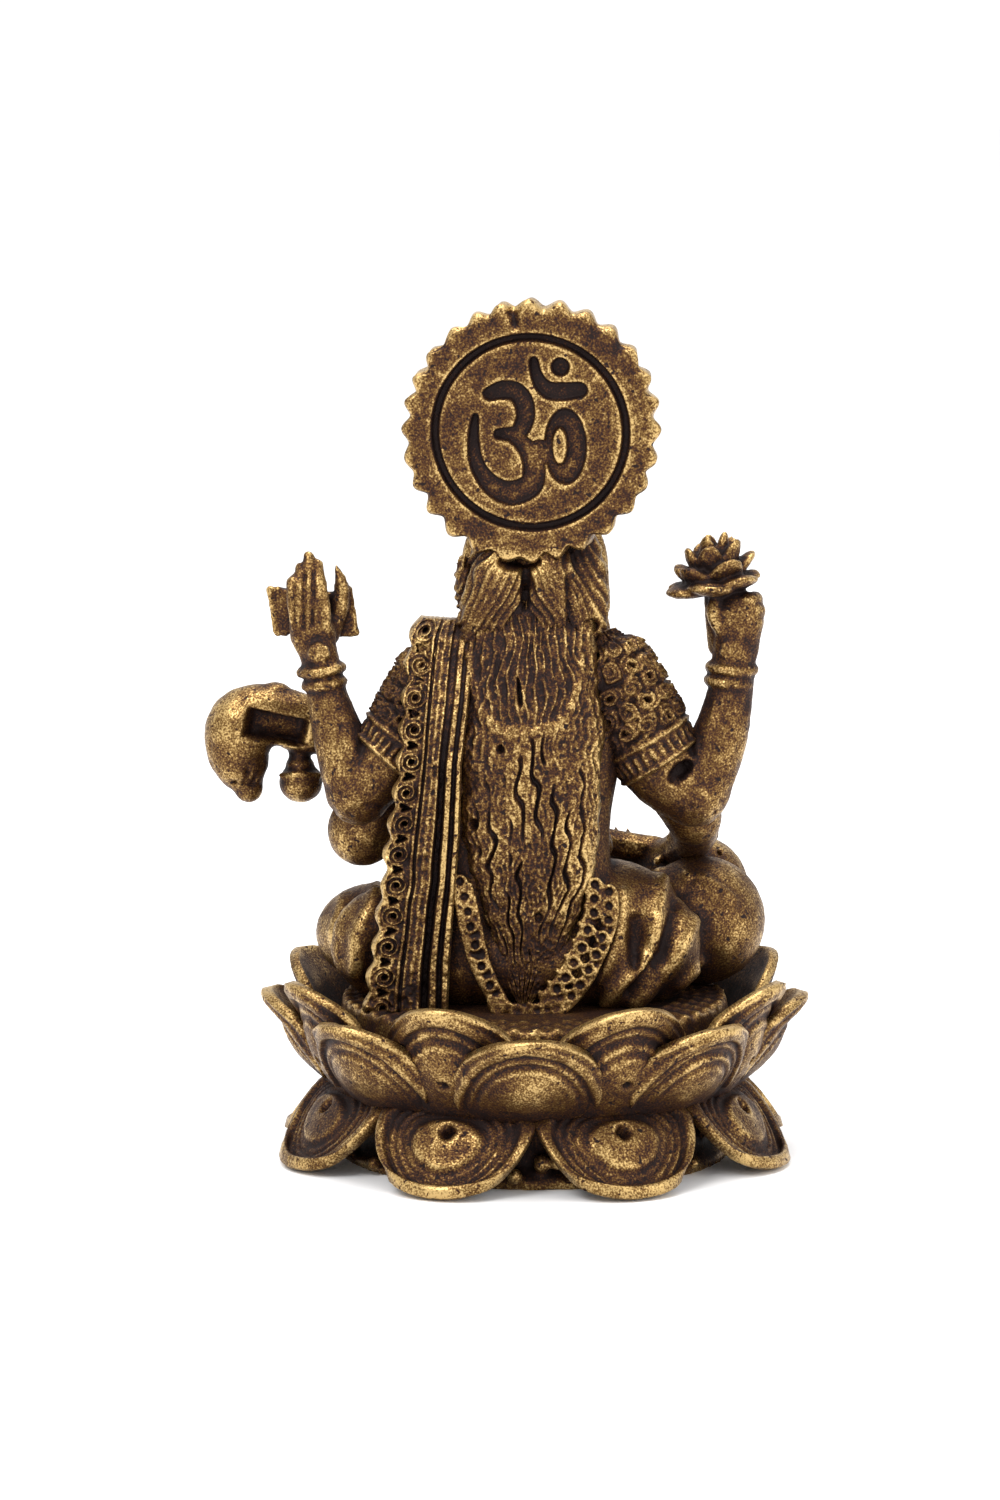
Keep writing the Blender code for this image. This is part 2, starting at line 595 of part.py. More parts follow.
def statue(parts, cutters):
    mesh = fused()
    mesh.name = "saraswati_statue"
    obj = bpy.data.objects.new("saraswati_statue", mesh)
    parts.objects.link(obj)
    faces = sum(len(p.vertices) - 2 for p in mesh.polygons)
    thin = obj.modifiers.new("thin", "DECIMATE")
    thin.ratio = FACE_BUDGET / faces
    bpy.ops.mesh.primitive_cube_add(size=1)
    ground = bpy.context.object
    ground.name = "ground_cutter"
    bpy.context.collection.objects.unlink(ground)
    cutters.objects.link(ground)
    side = 4 * LOWER_ROW_RADIUS
    ground.scale = (side, side, 2 * UNDERCUT)
    ground.location = (0, 0, -UNDERCUT)
    ground.hide_render = True
    ground.display_type = "WIRE"
    for cutter in [ground] + carving(cutters):
        cut = obj.modifiers.new(cutter.name, "BOOLEAN")
        cut.operation = "DIFFERENCE"
        cut.object = cutter
    obj.data.materials.append(bronze())
    return obj


def bronze():
    material = bpy.data.materials.new("antique_bronze")
    material.use_nodes = True
    shader = material.node_tree.nodes["Principled BSDF"]
    shader.inputs["Base Color"].default_value = BRONZE
    shader.inputs["Metallic"].default_value = 0.8
    shader.inputs["Roughness"].default_value = 0.45
    return material


def main():
    for obj in list(bpy.data.objects):
        bpy.data.objects.remove(obj)
    parts = bpy.data.collections.new("saraswati_statue")
    cutters = bpy.data.collections.new("cutters")
    bpy.context.scene.collection.children.link(parts)
    bpy.context.scene.collection.children.link(cutters)
    throne()
    legs()
    torso()
    head()
    crown()
    hair()
    sash()
    waist_border()
    raised_arms()
    left_hand()
    right_hand()
    playing_arms()
    lute()
    halo()
    statue(parts, cutters)


main()
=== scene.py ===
import math

import bmesh
import bpy
import numpy as np
from mathutils import Euler, Matrix, Vector


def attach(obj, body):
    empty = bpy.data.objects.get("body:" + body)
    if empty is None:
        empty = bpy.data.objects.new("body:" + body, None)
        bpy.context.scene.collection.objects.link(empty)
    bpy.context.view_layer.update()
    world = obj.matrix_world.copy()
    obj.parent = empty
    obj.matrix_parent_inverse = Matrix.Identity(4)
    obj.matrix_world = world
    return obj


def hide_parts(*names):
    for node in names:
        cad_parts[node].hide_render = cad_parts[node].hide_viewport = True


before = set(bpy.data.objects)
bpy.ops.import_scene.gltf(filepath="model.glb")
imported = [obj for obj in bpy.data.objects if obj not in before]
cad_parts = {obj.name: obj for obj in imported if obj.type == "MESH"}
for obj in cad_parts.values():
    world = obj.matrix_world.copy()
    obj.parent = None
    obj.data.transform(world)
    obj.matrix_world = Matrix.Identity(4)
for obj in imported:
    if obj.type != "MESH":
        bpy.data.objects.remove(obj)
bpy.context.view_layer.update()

# The figure is drawn in millimetres above the seat of the throne
mm = 0.001
seat = {"height": 15.7, "radius": 19.5, "waistRadius": 17.5, "waistHeight": 6.8, "bowlRadius": 20.1}
clay = bmesh.new()


def at(x, y, z):
    return Vector((x * mm, y * mm, (z + seat["height"]) * mm))


def copiedMesh(obj):
    mesh = obj.data.copy()
    bpy.data.objects.remove(obj)
    return mesh


def freshBall(segments, rings):
    bpy.ops.object.select_all(action="DESELECT")
    bpy.ops.mesh.primitive_uv_sphere_add(segments=segments, ring_count=rings, radius=1)
    return copiedMesh(bpy.context.object)


def freshRing():
    bpy.ops.object.select_all(action="DESELECT")
    bpy.ops.mesh.primitive_torus_add(major_segments=18, minor_segments=8, major_radius=1, minor_radius=0.36)
    return copiedMesh(bpy.context.object)


bigBall = freshBall(44, 26)
smallBall = freshBall(16, 10)
ringMesh = freshRing()


def spun(turn):
    return Euler([math.radians(a) for a in turn]).to_matrix().to_4x4()


# A spot on a level circle; y moves the middle of the circle forwards or back
def around(radius, turn, z, y=0.0):
    return (radius * math.sin(turn), y + radius * math.cos(turn), z)


# Every lump is pressed into the clay, and fuse() later makes one skin of it
def pressMesh(mesh, matrix):
    copy = mesh.copy()
    copy.transform(matrix)
    clay.from_mesh(copy)
    bpy.data.meshes.remove(copy)


def ball(centre, radii, turn=(0, 0, 0)):
    size = Matrix.Diagonal((radii[0] * mm, radii[1] * mm, radii[2] * mm, 1))
    mesh = bigBall if max(radii) > 1.3 else smallBall
    pressMesh(mesh, Matrix.Translation(at(*centre)) @ spun(turn) @ size)


# A long ball from one point to another, flattened across the way that it faces
def scoop(base, tip, width, thick, face):
    base, tip, face = Vector(base), Vector(tip), Vector(face)
    along = (tip - base).normalized()
    across = along.cross(face).normalized()
    out = across.cross(along)
    turn = Matrix((across, out, along)).transposed().to_4x4()
    size = Matrix.Diagonal((0.5 * width * mm, 0.5 * thick * mm, 0.5 * (tip - base).length * mm, 1))
    pressMesh(bigBall, Matrix.Translation(at(*((base + tip) / 2))) @ turn @ size)


def ringOn(centre, normal, radius, squash=1.0):
    spin = Vector(normal).to_track_quat("Z", "Y").to_matrix().to_4x4()
    size = Matrix.Diagonal((radius * mm, radius * squash * mm, radius * mm, 1))
    pressMesh(ringMesh, Matrix.Translation(at(*centre)) @ spin @ size)


def braceletCord(spot, tilt, radius, thick):
    bpy.ops.object.select_all(action="DESELECT")
    bpy.ops.mesh.primitive_torus_add(major_segments=40, minor_segments=8, major_radius=radius * mm,
                                     minor_radius=thick * mm)
    obj = bpy.context.object
    obj.matrix_world = Matrix.Translation(at(*spot)) @ spun((0, tilt, 0))
    pressObject(obj)


# A tapered rod through the points, with a ball at each end
def limb(points, radii, flat=1.0):
    thick = max(radii) > 1.2
    data = bpy.data.curves.new("limb", "CURVE")
    data.dimensions = "3D"
    data.bevel_depth = mm
    data.bevel_resolution = 8 if thick else 3
    data.resolution_u = 10 if thick else 5
    data.use_fill_caps = True
    spline = data.splines.new("BEZIER")
    spline.bezier_points.add(len(points) - 1)
    for knot, (x, y, z), radius in zip(spline.bezier_points, points, radii):
        knot.co = at(x, y / flat, z)
        knot.radius = radius
        knot.handle_left_type = knot.handle_right_type = "AUTO"
    obj = bpy.data.objects.new("limb", data)
    obj.scale = (1, flat, 1)
    bpy.context.collection.objects.link(obj)
    pressObject(obj)
    for spot, radius in ((points[0], radii[0]), (points[-1], radii[-1])):
        ball(spot, (radius, radius * flat, radius))


def pressObject(obj):
    bpy.context.view_layer.update()
    evaluated = obj.evaluated_get(bpy.context.evaluated_depsgraph_get())
    mesh = bpy.data.meshes.new_from_object(evaluated)
    mesh.transform(obj.matrix_world)
    clay.from_mesh(mesh)
    bpy.data.meshes.remove(mesh)
    bpy.data.objects.remove(obj)


# A profile of (radius, height) points spun round an upright line
def turned(profile, centre=(0, 0, 0), steps=96):
    mesh = bpy.data.meshes.new("turned")
    links = [(number, number + 1) for number in range(len(profile) - 1)]
    mesh.from_pydata([(radius * mm, 0, z * mm) for radius, z in profile], links, [])
    obj = bpy.data.objects.new("turned", mesh)
    obj.location = centre
    bpy.context.collection.objects.link(obj)
    screw = obj.modifiers.new("turn", "SCREW")
    screw.steps = screw.render_steps = steps
    screw.use_merge_vertices = True
    screw.merge_threshold = 0.00001
    pressObject(obj)


def sheet(place, across, along, wall):
    bpy.ops.object.select_all(action="DESELECT")
    bpy.ops.mesh.primitive_grid_add(x_subdivisions=across, y_subdivisions=along, size=2)
    obj = bpy.context.object
    for vertex in obj.data.vertices:
        vertex.co = place(vertex.co.x, vertex.co.y)
    solid = obj.modifiers.new("wall", "SOLIDIFY")
    solid.thickness = wall * mm
    solid.offset = 0
    pressObject(obj)


pieces = []


def keep(obj):
    pieces.append(obj)
    print("made", obj.name, "faces", len(obj.data.polygons))
    return obj


def selectOnly(*objects):
    bpy.ops.object.select_all(action="DESELECT")
    for obj in objects:
        obj.select_set(True)
    bpy.context.view_layer.objects.active = objects[0]


def joined(*objects):
    selectOnly(*objects)
    bpy.ops.object.join()
    return objects[0]


# In edit mode: a wall between the two open rims
def bridgeRims():
    bpy.ops.mesh.select_all(action="DESELECT")
    bpy.ops.mesh.select_non_manifold()
    bpy.ops.mesh.bridge_edge_loops()


# In edit mode: every face turned outwards
def faceOutwards():
    bpy.ops.mesh.select_all(action="SELECT")
    bpy.ops.mesh.normals_make_consistent(inside=False)


def readPoints(mesh):
    flatList = np.empty(len(mesh.vertices) * 3, dtype=np.float64)
    mesh.vertices.foreach_get("co", flatList)
    return flatList.reshape(-1, 3)


def readNormals(mesh):
    flatList = np.empty(len(mesh.vertices) * 3, dtype=np.float64)
    mesh.vertex_normals.foreach_get("vector", flatList)
    return flatList.reshape(-1, 3)


def writePoints(mesh, points):
    mesh.vertices.foreach_set("co", points.ravel())
    mesh.update()


# A grid for a carved face, whose points are then moved by numbers. u runs across it and v up it.
def carvedGrid(name, across, up):
    bpy.ops.object.select_all(action="DESELECT")
    bpy.ops.mesh.primitive_grid_add(x_subdivisions=across, y_subdivisions=up, size=2)
    obj = bpy.context.object
    obj.name = obj.data.name = name
    points = readPoints(obj.data)
    return obj, points[:, 0], points[:, 1]


# The square grid drawn into a disc
def roundGrid(u, v):
    return u * np.sqrt(1 - v * v / 2), v * np.sqrt(1 - u * u / 2)


def pointsAt(x, y, z):
    return np.stack([x, y, z + seat["height"]], axis=1) * mm


# The edge of a carved face is drawn back by the push and closed
def drawBack(obj, push):
    selectOnly(obj)
    bpy.ops.object.mode_set(mode="EDIT")
    bpy.ops.mesh.select_mode(type="EDGE")
    bpy.ops.mesh.select_all(action="DESELECT")
    bpy.ops.mesh.select_non_manifold()
    bpy.ops.mesh.extrude_edges_move(TRANSFORM_OT_translate={"value": [value * mm for value in push]})
    bpy.ops.mesh.edge_face_add()
    bpy.ops.object.mode_set(mode="OBJECT")


def closePiece(obj, push):
    drawBack(obj, push)
    bpy.ops.object.mode_set(mode="EDIT")
    faceOutwards()
    bpy.ops.object.mode_set(mode="OBJECT")
    keep(obj)


def meshEdges(mesh):
    pairs = np.empty(len(mesh.edges) * 2, dtype=np.int64)
    mesh.edges.foreach_get("vertices", pairs)
    pairs = pairs.reshape(-1, 2)
    count = np.bincount(pairs.ravel(), minlength=len(mesh.vertices)).astype(np.float64)
    return pairs[:, 0], pairs[:, 1], np.maximum(count, 1)


# Each point's value becomes the mean of its neighbours along the edges
def averaged(values, edges):
    a, b, count = edges
    out = np.empty_like(values)
    for axis in range(values.shape[1]):
        column = values[:, axis]
        total = np.bincount(a, weights=column[b], minlength=len(column))
        total += np.bincount(b, weights=column[a], minlength=len(column))
        out[:, axis] = total / count
    return out


def smoothStep(low, high, value):
    t = np.clip((value - low) / (high - low), 0, 1)
    return t * t * (3 - 2 * t)


# Value noise on a seeded lattice, between -1 and 1. The pitch is in millimetres.
lattice = np.random.default_rng(7).uniform(-1, 1, (32, 32, 32))


def castNoise(points, pitch, shift=0.0):
    spot = points / (pitch * mm) + shift
    cell = np.floor(spot).astype(np.int64)
    rest = spot - cell
    rest = rest * rest * (3 - 2 * rest)
    total = np.zeros(len(points))
    for corner in range(8):
        step = np.array([corner & 1, corner >> 1 & 1, corner >> 2 & 1])
        share = np.prod(np.where(step, rest, 1 - rest), axis=1)
        x, y, z = ((cell + step) % 32).T
        total += share * lattice[x, y, z]
    return total


def roughen(mesh, amount):
    points = readPoints(mesh)
    lumps = 0.9 * castNoise(points, 1.1) + 0.8 * castNoise(points, 0.52, 3.3)
    lumps += 0.5 * castNoise(points, 0.3, 7.7)
    pits = smoothStep(0.62, 0.80, castNoise(points, 0.75, 11.1))
    height = (lumps * amount - 2.2 * amount * pits) * mm
    writePoints(mesh, points + readNormals(mesh) * height[:, None])


# Presses one dent into a mesh: a round, or a box if boxy, of the given half sizes, moved by the push
def dent(mesh, centre, half, push, boxy=False, turn=0.0, soft=0.25):
    points = readPoints(mesh)
    away = (points - np.array(at(*centre))) / mm
    cos, sin = math.cos(math.radians(turn)), math.sin(math.radians(turn))
    x, z = away[:, 0] * cos + away[:, 2] * sin, away[:, 2] * cos - away[:, 0] * sin
    parts = np.abs(np.stack([x / half[0], away[:, 1] / half[1], z / half[2]], axis=1))
    far = parts.max(axis=1) if boxy else np.sqrt((parts ** 2).sum(axis=1))
    share = 1 - smoothStep(1 - soft, 1 + soft * 0.4, far)
    facing = readNormals(mesh) @ -np.array(Vector(push).normalized()) > -0.2
    writePoints(mesh, points + (share * facing)[:, None] * np.array(push) * mm)


# Raises or sinks a soft line on the side that faces the back, along (x, z) points
def crease(mesh, path, width, height):
    points, normals = readPoints(mesh), readNormals(mesh)
    x, z = points[:, 0] / mm, points[:, 2] / mm - seat["height"]
    near = np.hypot(x - path[0][0], z - path[0][1])
    for (ax, az), (bx, bz) in zip(path, path[1:]):
        dx, dz = bx - ax, bz - az
        along = np.clip(((x - ax) * dx + (z - az) * dz) / (dx * dx + dz * dz), 0, 1)
        near = np.minimum(near, np.hypot(x - ax - along * dx, z - az - along * dz))
    push = height * np.exp(-(near / width) ** 2) * smoothStep(-0.1, 0.25, normals[:, 1])
    push *= points[:, 1] > -0.006
    writePoints(mesh, points + normals * push[:, None] * mm)


# The spot at a share of the way along a line of points
def alongLine(points, share):
    step = min(max(share, 0), 0.9999) * (len(points) - 1)
    low = int(step)
    rest = step - low
    return tuple(a + (b - a) * rest for a, b in zip(points[low], points[low + 1]))


# The clay becomes one skin, made of cells as wide as the grain, and is then smoothed, thinned and roughened
def fuse(name, grain, smoothing, limit, rough):
    mesh = bpy.data.meshes.new(name)
    clay.to_mesh(mesh)
    clay.clear()
    obj = bpy.data.objects.new(name, mesh)
    bpy.context.collection.objects.link(obj)
    selectOnly(obj)
    remesh = obj.modifiers.new("skin", "REMESH")
    remesh.mode = "VOXEL"
    remesh.voxel_size = grain * mm
    bpy.ops.object.modifier_apply(modifier="skin")
    edges = meshEdges(obj.data)
    points = readPoints(obj.data)
    for _ in range(smoothing):
        points = 0.4 * points + 0.6 * averaged(points, edges)
    writePoints(obj.data, points)
    faces = 2 * len(obj.data.polygons)
    print("clay", name, "faces", faces)
    if faces > limit:
        thin = obj.modifiers.new("thin", "DECIMATE")
        thin.ratio = limit / faces
        bpy.ops.object.modifier_apply(modifier="thin")
    roughen(obj.data, rough)
    return keep(obj)


# The form's own height over its smoothed self, at a fine and a broad reach in millimetres
def ownRelief(mesh):
    points = readPoints(mesh)
    normals = readNormals(mesh)
    edges = meshEdges(mesh)
    length = np.median(np.linalg.norm(points[edges[0]] - points[edges[1]], axis=1)) / mm
    total = np.zeros(len(points))
    smooth = points
    done = 0
    for reach, height, share in ((0.22, 0.035, 0.60), (0.75, 0.20, 0.38)):
        steps = min(int(2 * (reach / length) ** 2) + 1, 120)
        while done < steps:
            smooth = averaged(smooth, edges)
            done += 1
        total += share * np.tanh(np.einsum("ij,ij->i", points - smooth, normals) / (height * mm))
    return averaged(total[:, None], edges)[:, 0]


def boxBlur(field, reach):
    for axis in range(3):
        for _ in range(2):
            border = [(reach + 1, reach) if a == axis else (0, 0) for a in range(3)]
            total = np.cumsum(np.pad(field, border), axis=axis)
            size = field.shape[axis]
            high = np.take(total, np.arange(2 * reach + 1, 2 * reach + 1 + size), axis=axis)
            field = (high - np.take(total, np.arange(size), axis=axis)) / (2 * reach + 1)
    return field


def sampled(field, points, low, cell):
    spot = (points - low) / cell - 0.5
    base = np.clip(np.floor(spot).astype(np.int64), 0, np.array(field.shape) - 2)
    rest = np.clip(spot - base, 0, 1)
    total = np.zeros(len(points))
    for corner in range(8):
        step = np.array([corner & 1, corner >> 1 & 1, corner >> 2 & 1])
        x, y, z = (base + step).T
        total += np.prod(np.where(step, rest, 1 - rest), axis=1) * field[x, y, z]
    return total


# Painted shade: the colour is darkened where much surface is near, standing in for the shade that falls in
# recesses, under parts and between them; base and relief set the patina of the form's own hollows. Each
# reach: cells to spread over, millimetres out from the surface, the crowding where the painted shade starts,
# the span to full shade, and how much it darkens.
patinaAndPaintedShade = {
    "cell": 0.4, "low": (-0.036, -0.036, -0.004), "high": (0.042, 0.036, 0.096),
    "base": 0.458, "relief": 0.38, "reaches": ((2, 1.5, 0.16, 0.42, 0.11), (5, 3.5, 0.09, 0.22, 0.15)),
}


def markHollows():
    cell = patinaAndPaintedShade["cell"] * mm
    low, high = np.array(patinaAndPaintedShade["low"]), np.array(patinaAndPaintedShade["high"])
    shape = tuple(np.ceil((high - low) / cell).astype(int))
    crowd = np.zeros(shape)
    for obj in pieces:
        points = readPoints(obj.data)
        area = sum(p.area for p in obj.data.polygons) / len(points) / mm ** 2
        x, y, z = ((points - low) / cell).astype(np.int64).T
        flatIndex = np.ravel_multi_index((x, y, z), shape)
        crowd += (np.bincount(flatIndex, minlength=crowd.size) * area).reshape(shape)
    crowd /= patinaAndPaintedShade["cell"] ** 3
    crowds = [boxBlur(crowd, reach[0]) for reach in patinaAndPaintedShade["reaches"]]
    for obj in pieces:
        tone = patina["tones"].get(obj.name, 0)
        points, normals = readPoints(obj.data), readNormals(obj.data)
        value = patinaAndPaintedShade["base"] + tone + patinaAndPaintedShade["relief"] * ownRelief(obj.data)
        # painted shade: each reach darkens the colour where the surfaces around crowd close
        for spreadCrowd, (_, out, start, span, dark) in zip(crowds, patinaAndPaintedShade["reaches"]):
            share = (sampled(spreadCrowd, points + normals * out * mm, low, cell) - start) / span
            value -= dark * np.clip(share, 0, 1)
        hollow = obj.data.attributes.new("hollow", "FLOAT", "POINT")
        hollow.data.foreach_set("value", np.clip(value, 0, 1).astype(np.float32))
    print("hollows marked")


def finishPieces():
    for obj in pieces:
        for polygon in obj.data.polygons:
            polygon.use_smooth = True
        obj.data.materials.clear()
        obj.data.materials.append(antiqueBronze)
        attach(obj, "root")
        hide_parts("saraswati_statue")
        print("piece", obj.name, "triangles", sum(len(p.vertices) - 2 for p in obj.data.polygons))


# Material: gilt rubbed off to brown in the hollows, with painted shade where surfaces crowd, broken up by
# grain, blotches and pinholes

patina = {
    "stops": (
        (0.10, (0.0090, 0.0022, 0.0014)),
        (0.26, (0.0310, 0.0090, 0.0038)),
        (0.41, (0.0680, 0.0265, 0.0082)),
        (0.54, (0.1160, 0.0585, 0.0180)),
        (0.71, (0.2200, 0.1290, 0.0430)),
        (0.92, (0.5400, 0.3650, 0.1450)),
    ),
    "grain": 1.5, "blotch": 0.80, "cloud": 0.55, "pinhole": 0.55,
    "roughness": (0.66, 0.36),
    "metallic": (0.60, 0.92),
    "bump": 0.45,
    "grainScale": 5200, "blotchScale": 420, "cloudScale": 130, "pinholeScale": 1500, "castScale": 2100,
    "tones": {"raisedArms": -0.075, "lowerPetals": -0.055, "sariEnd": 0.045, "lute": -0.03,
              "leftSleeve": 0.02, "rightSleeve": 0.02},
}


def patinaGroup():
    group = bpy.data.node_groups.new("patina wear and painted shade", "ShaderNodeTree")
    group.interface.new_socket("Hollow", in_out="INPUT", socket_type="NodeSocketFloat")
    group.interface.new_socket("Position", in_out="INPUT", socket_type="NodeSocketVector")
    group.interface.new_socket("Color", in_out="OUTPUT", socket_type="NodeSocketColor")
    for name in ("Roughness", "Metallic", "Height"):
        group.interface.new_socket(name, in_out="OUTPUT", socket_type="NodeSocketFloat")
    nodes, links = group.nodes, group.links
    start = nodes.new("NodeGroupInput")
    end = nodes.new("NodeGroupOutput")

    def noise(scale, detail):
        node = nodes.new("ShaderNodeTexNoise")
        node.inputs["Scale"].default_value = scale
        node.inputs["Detail"].default_value = detail
        links.new(start.outputs["Position"], node.inputs["Vector"])
        return node.outputs["Fac"]

    def maths(kind, *values):
        node = nodes.new("ShaderNodeMath")
        node.operation = kind
        for socket, value in zip(node.inputs, values):
            if isinstance(value, (int, float)):
                socket.default_value = value
            else:
                links.new(value, socket)
        return node.outputs[0]

    def spread(value, amount):
        return maths("MULTIPLY", maths("SUBTRACT", value, 0.5), amount)

    def remap(value, low, high, ends):
        node = nodes.new("ShaderNodeMapRange")
        for name, number in zip(("From Min", "From Max", "To Min", "To Max"), (low, high, *ends)):
            node.inputs[name].default_value = number
        links.new(value, node.inputs["Value"])
        return node.outputs["Result"]

    grain = noise(patina["grainScale"], 3)
    pits = remap(noise(patina["pinholeScale"], 1), 0.66, 0.74, (0, 1))
    # the Hollow input carries the patina of the hollows together with painted shade where surfaces crowd
    wornAndShaded = maths("ADD", start.outputs["Hollow"], spread(grain, patina["grain"]))
    wornAndShaded = maths("ADD", wornAndShaded, spread(noise(patina["blotchScale"], 3), patina["blotch"]))
    wornAndShaded = maths("ADD", wornAndShaded, spread(noise(patina["cloudScale"], 2), patina["cloud"]))
    wornAndShaded = maths("SUBTRACT", wornAndShaded, maths("MULTIPLY", pits, patina["pinhole"]))
    ramp = nodes.new("ShaderNodeValToRGB")
    elements = ramp.color_ramp.elements
    while len(elements) < len(patina["stops"]):
        elements.new(0.5)
    for element, (place, colour) in zip(elements, patina["stops"]):
        element.position = place
        element.color = (*colour, 1)
    links.new(wornAndShaded, ramp.inputs["Fac"])
    lumps = noise(patina["castScale"], 2)
    height = maths("ADD", maths("MULTIPLY", grain, 0.6), maths("MULTIPLY", lumps, 0.6))
    height = maths("SUBTRACT", height, maths("MULTIPLY", pits, 0.5))
    links.new(ramp.outputs["Color"], end.inputs["Color"])
    links.new(remap(wornAndShaded, 0.2, 0.85, patina["roughness"]), end.inputs["Roughness"])
    links.new(remap(wornAndShaded, 0.2, 0.6, patina["metallic"]), end.inputs["Metallic"])
    links.new(height, end.inputs["Height"])
    return group


def bronzeMaterial():
    material = bpy.data.materials.new("antique bronze")
    material.use_nodes = True
    nodes, links = material.node_tree.nodes, material.node_tree.links
    shader = nodes["Principled BSDF"]
    group = nodes.new("ShaderNodeGroup")
    group.node_tree = patinaGroup()
    hollow = nodes.new("ShaderNodeAttribute")
    hollow.attribute_name = "hollow"
    where = nodes.new("ShaderNodeTexCoord")
    links.new(hollow.outputs["Fac"], group.inputs["Hollow"])
    links.new(where.outputs["Object"], group.inputs["Position"])
    links.new(group.outputs["Color"], shader.inputs["Base Color"])
    links.new(group.outputs["Roughness"], shader.inputs["Roughness"])
    links.new(group.outputs["Metallic"], shader.inputs["Metallic"])
    bump = nodes.new("ShaderNodeBump")
    bump.inputs["Strength"].default_value = patina["bump"]
    bump.inputs["Distance"].default_value = 0.00012
    links.new(group.outputs["Height"], bump.inputs["Height"])
    links.new(bump.outputs["Normal"], shader.inputs["Normal"])
    return material


antiqueBronze = bronzeMaterial()


# Lotus throne

lotus = {
    "petals": 8, "width": 15.8, "wall": 1.3, "lowerWall": 1.5,
    "innerRadius": 25.0, "innerHeight": 18.9,
    "outerRadius": 26.1, "outerHeight": 16.3, "outerTurn": 2.0,
    "lowerRadius": 27.0, "lowerWidth": 17.4, "footRadius": 18.8, "dense": 58, "plain": 24, "seed": 11,
    "seatBeads": ((19.0, 56), (17.7, 52), (16.4, 48), (15.1, 44)), "lumps": 48,
    "cast": {"grain": 0.34, "smoothing": 2, "limit": 44000, "rough": 0.05},
}


# One face of a petal: p runs across it and q from its root to its tip, on a rounded grid
def petalFace(dense, angle, spine, width, cup, relief, inset, wobble):
    under = -1 if spine is fallingSpine else 1  # a falling petal shows the side that faces up
    obj, u, v = carvedGrid("petal", dense, dense)
    p, q = roundGrid(u, v)
    t = (q + 1) / 2
    radius, height = spine(t)
    nextRadius, nextHeight = spine(t + 0.02)
    slopeR, slopeH = nextRadius - radius, nextHeight - height
    length = np.hypot(slopeR, slopeH) + 1e-9
    outR, outH = under * slopeH / length, -under * slopeR / length
    side = p * 0.5 * width * (1 + 0.04 * wobble * q) * (1 - 0.10 * smoothStep(0.45, 1.0, q))
    lift = relief(p, q) - inset * (1 - 0.4 * (p * p + q * q))
    away = radius - cup * p * p * (0.4 + 0.6 * t) + outR * lift
    turn = angle + side / np.maximum(radius, 19.5)
    up = height + outH * lift + 0.25 * wobble * p
    if under < 0:
        up = up + 2.1 * p * p * smoothStep(0.25, 0.95, t)
    writePoints(obj.data, np.stack([away * np.sin(turn), away * np.cos(turn), up], axis=1) * mm)
    return obj


def petal(angle, spine, width, wall, cup, relief, wobble):
    outer = petalFace(lotus["dense"], angle, spine, width, cup, relief, 0.0, wobble)
    inner = petalFace(lotus["plain"], angle, spine, width, cup, lambda p, q: 0 * p, wall, wobble)
    joined(outer, inner)
    bpy.ops.object.mode_set(mode="EDIT")
    bridgeRims()
    faceOutwards()
    bpy.ops.object.mode_set(mode="OBJECT")
    return outer


def petalRow(name, spine, width, start, wall, cup, relief):
    rng = np.random.default_rng(lotus["seed"])
    made = []
    for number in range(lotus["petals"]):
        angle = 2 * math.pi * number / lotus["petals"] + math.radians(start)
        made.append(petal(angle, spine, width, wall, cup, relief(rng), rng.uniform(-1, 1)))
    row = joined(*made)
    row.name = row.data.name = name
    roughen(row.data, 0.028)
    return keep(row)


def risingSpine(tipRadius, tipHeight):
    bowl, waist = seat["bowlRadius"], seat["waistHeight"]

    def spine(t):
        out = bowl + (tipRadius - bowl) * np.sin(0.5 * math.pi * np.clip(t, 0, 1.1))
        out = out + 1.5 * smoothStep(0.70, 1.04, t)
        return out, waist - 0.6 + (tipHeight - waist + 0.6) * t
    return spine


# A lower petal slopes from under the bowl down to the ground, with its tip a little raised
def fallingSpine(t):
    radius = seat["waistRadius"] + (lotus["lowerRadius"] - seat["waistRadius"]) * t
    height = 7.7 - 1.6 * t - 6.6 * smoothStep(0.30, 1.02, t) + 1.5 * smoothStep(0.80, 1.04, t)
    return radius, height + 0.45


# A broad rolled rim, one to three faint arcs inside it and a swollen middle
def archRelief(hole):
    def carve(rng):
        arcs, shift, strength = rng.uniform(1.6, 2.6), rng.uniform(-0.03, 0.03), rng.uniform(0.10, 0.17)

        def relief(p, q):
            ring = np.sqrt(p * p + ((q + 0.55) / 1.55) ** 2)
            rim = 0.50 * smoothStep(0.80, 0.875, ring) - 0.25 * smoothStep(0.955, 1.0, ring)
            crest = np.cos(2 * math.pi * (ring - 0.74 + shift) / 0.155)
            waves = strength * crest * smoothStep(0.78 - 0.155 * arcs, 0.80 - 0.10 * arcs, ring)
            waves *= 1 - smoothStep(0.775, 0.82, ring)
            belly = 0.75 * (1 - smoothStep(0.0, 0.85, np.hypot(p * 1.05, (q + 0.15) * 0.9)))
            lift = rim + waves * smoothStep(-0.65, -0.15, q) + belly
            if hole:
                lift -= 0.9 * (1 - smoothStep(0.03, 0.06, np.hypot(p, (q + 0.22) * 0.9)))
            return lift
        return relief
    return carve


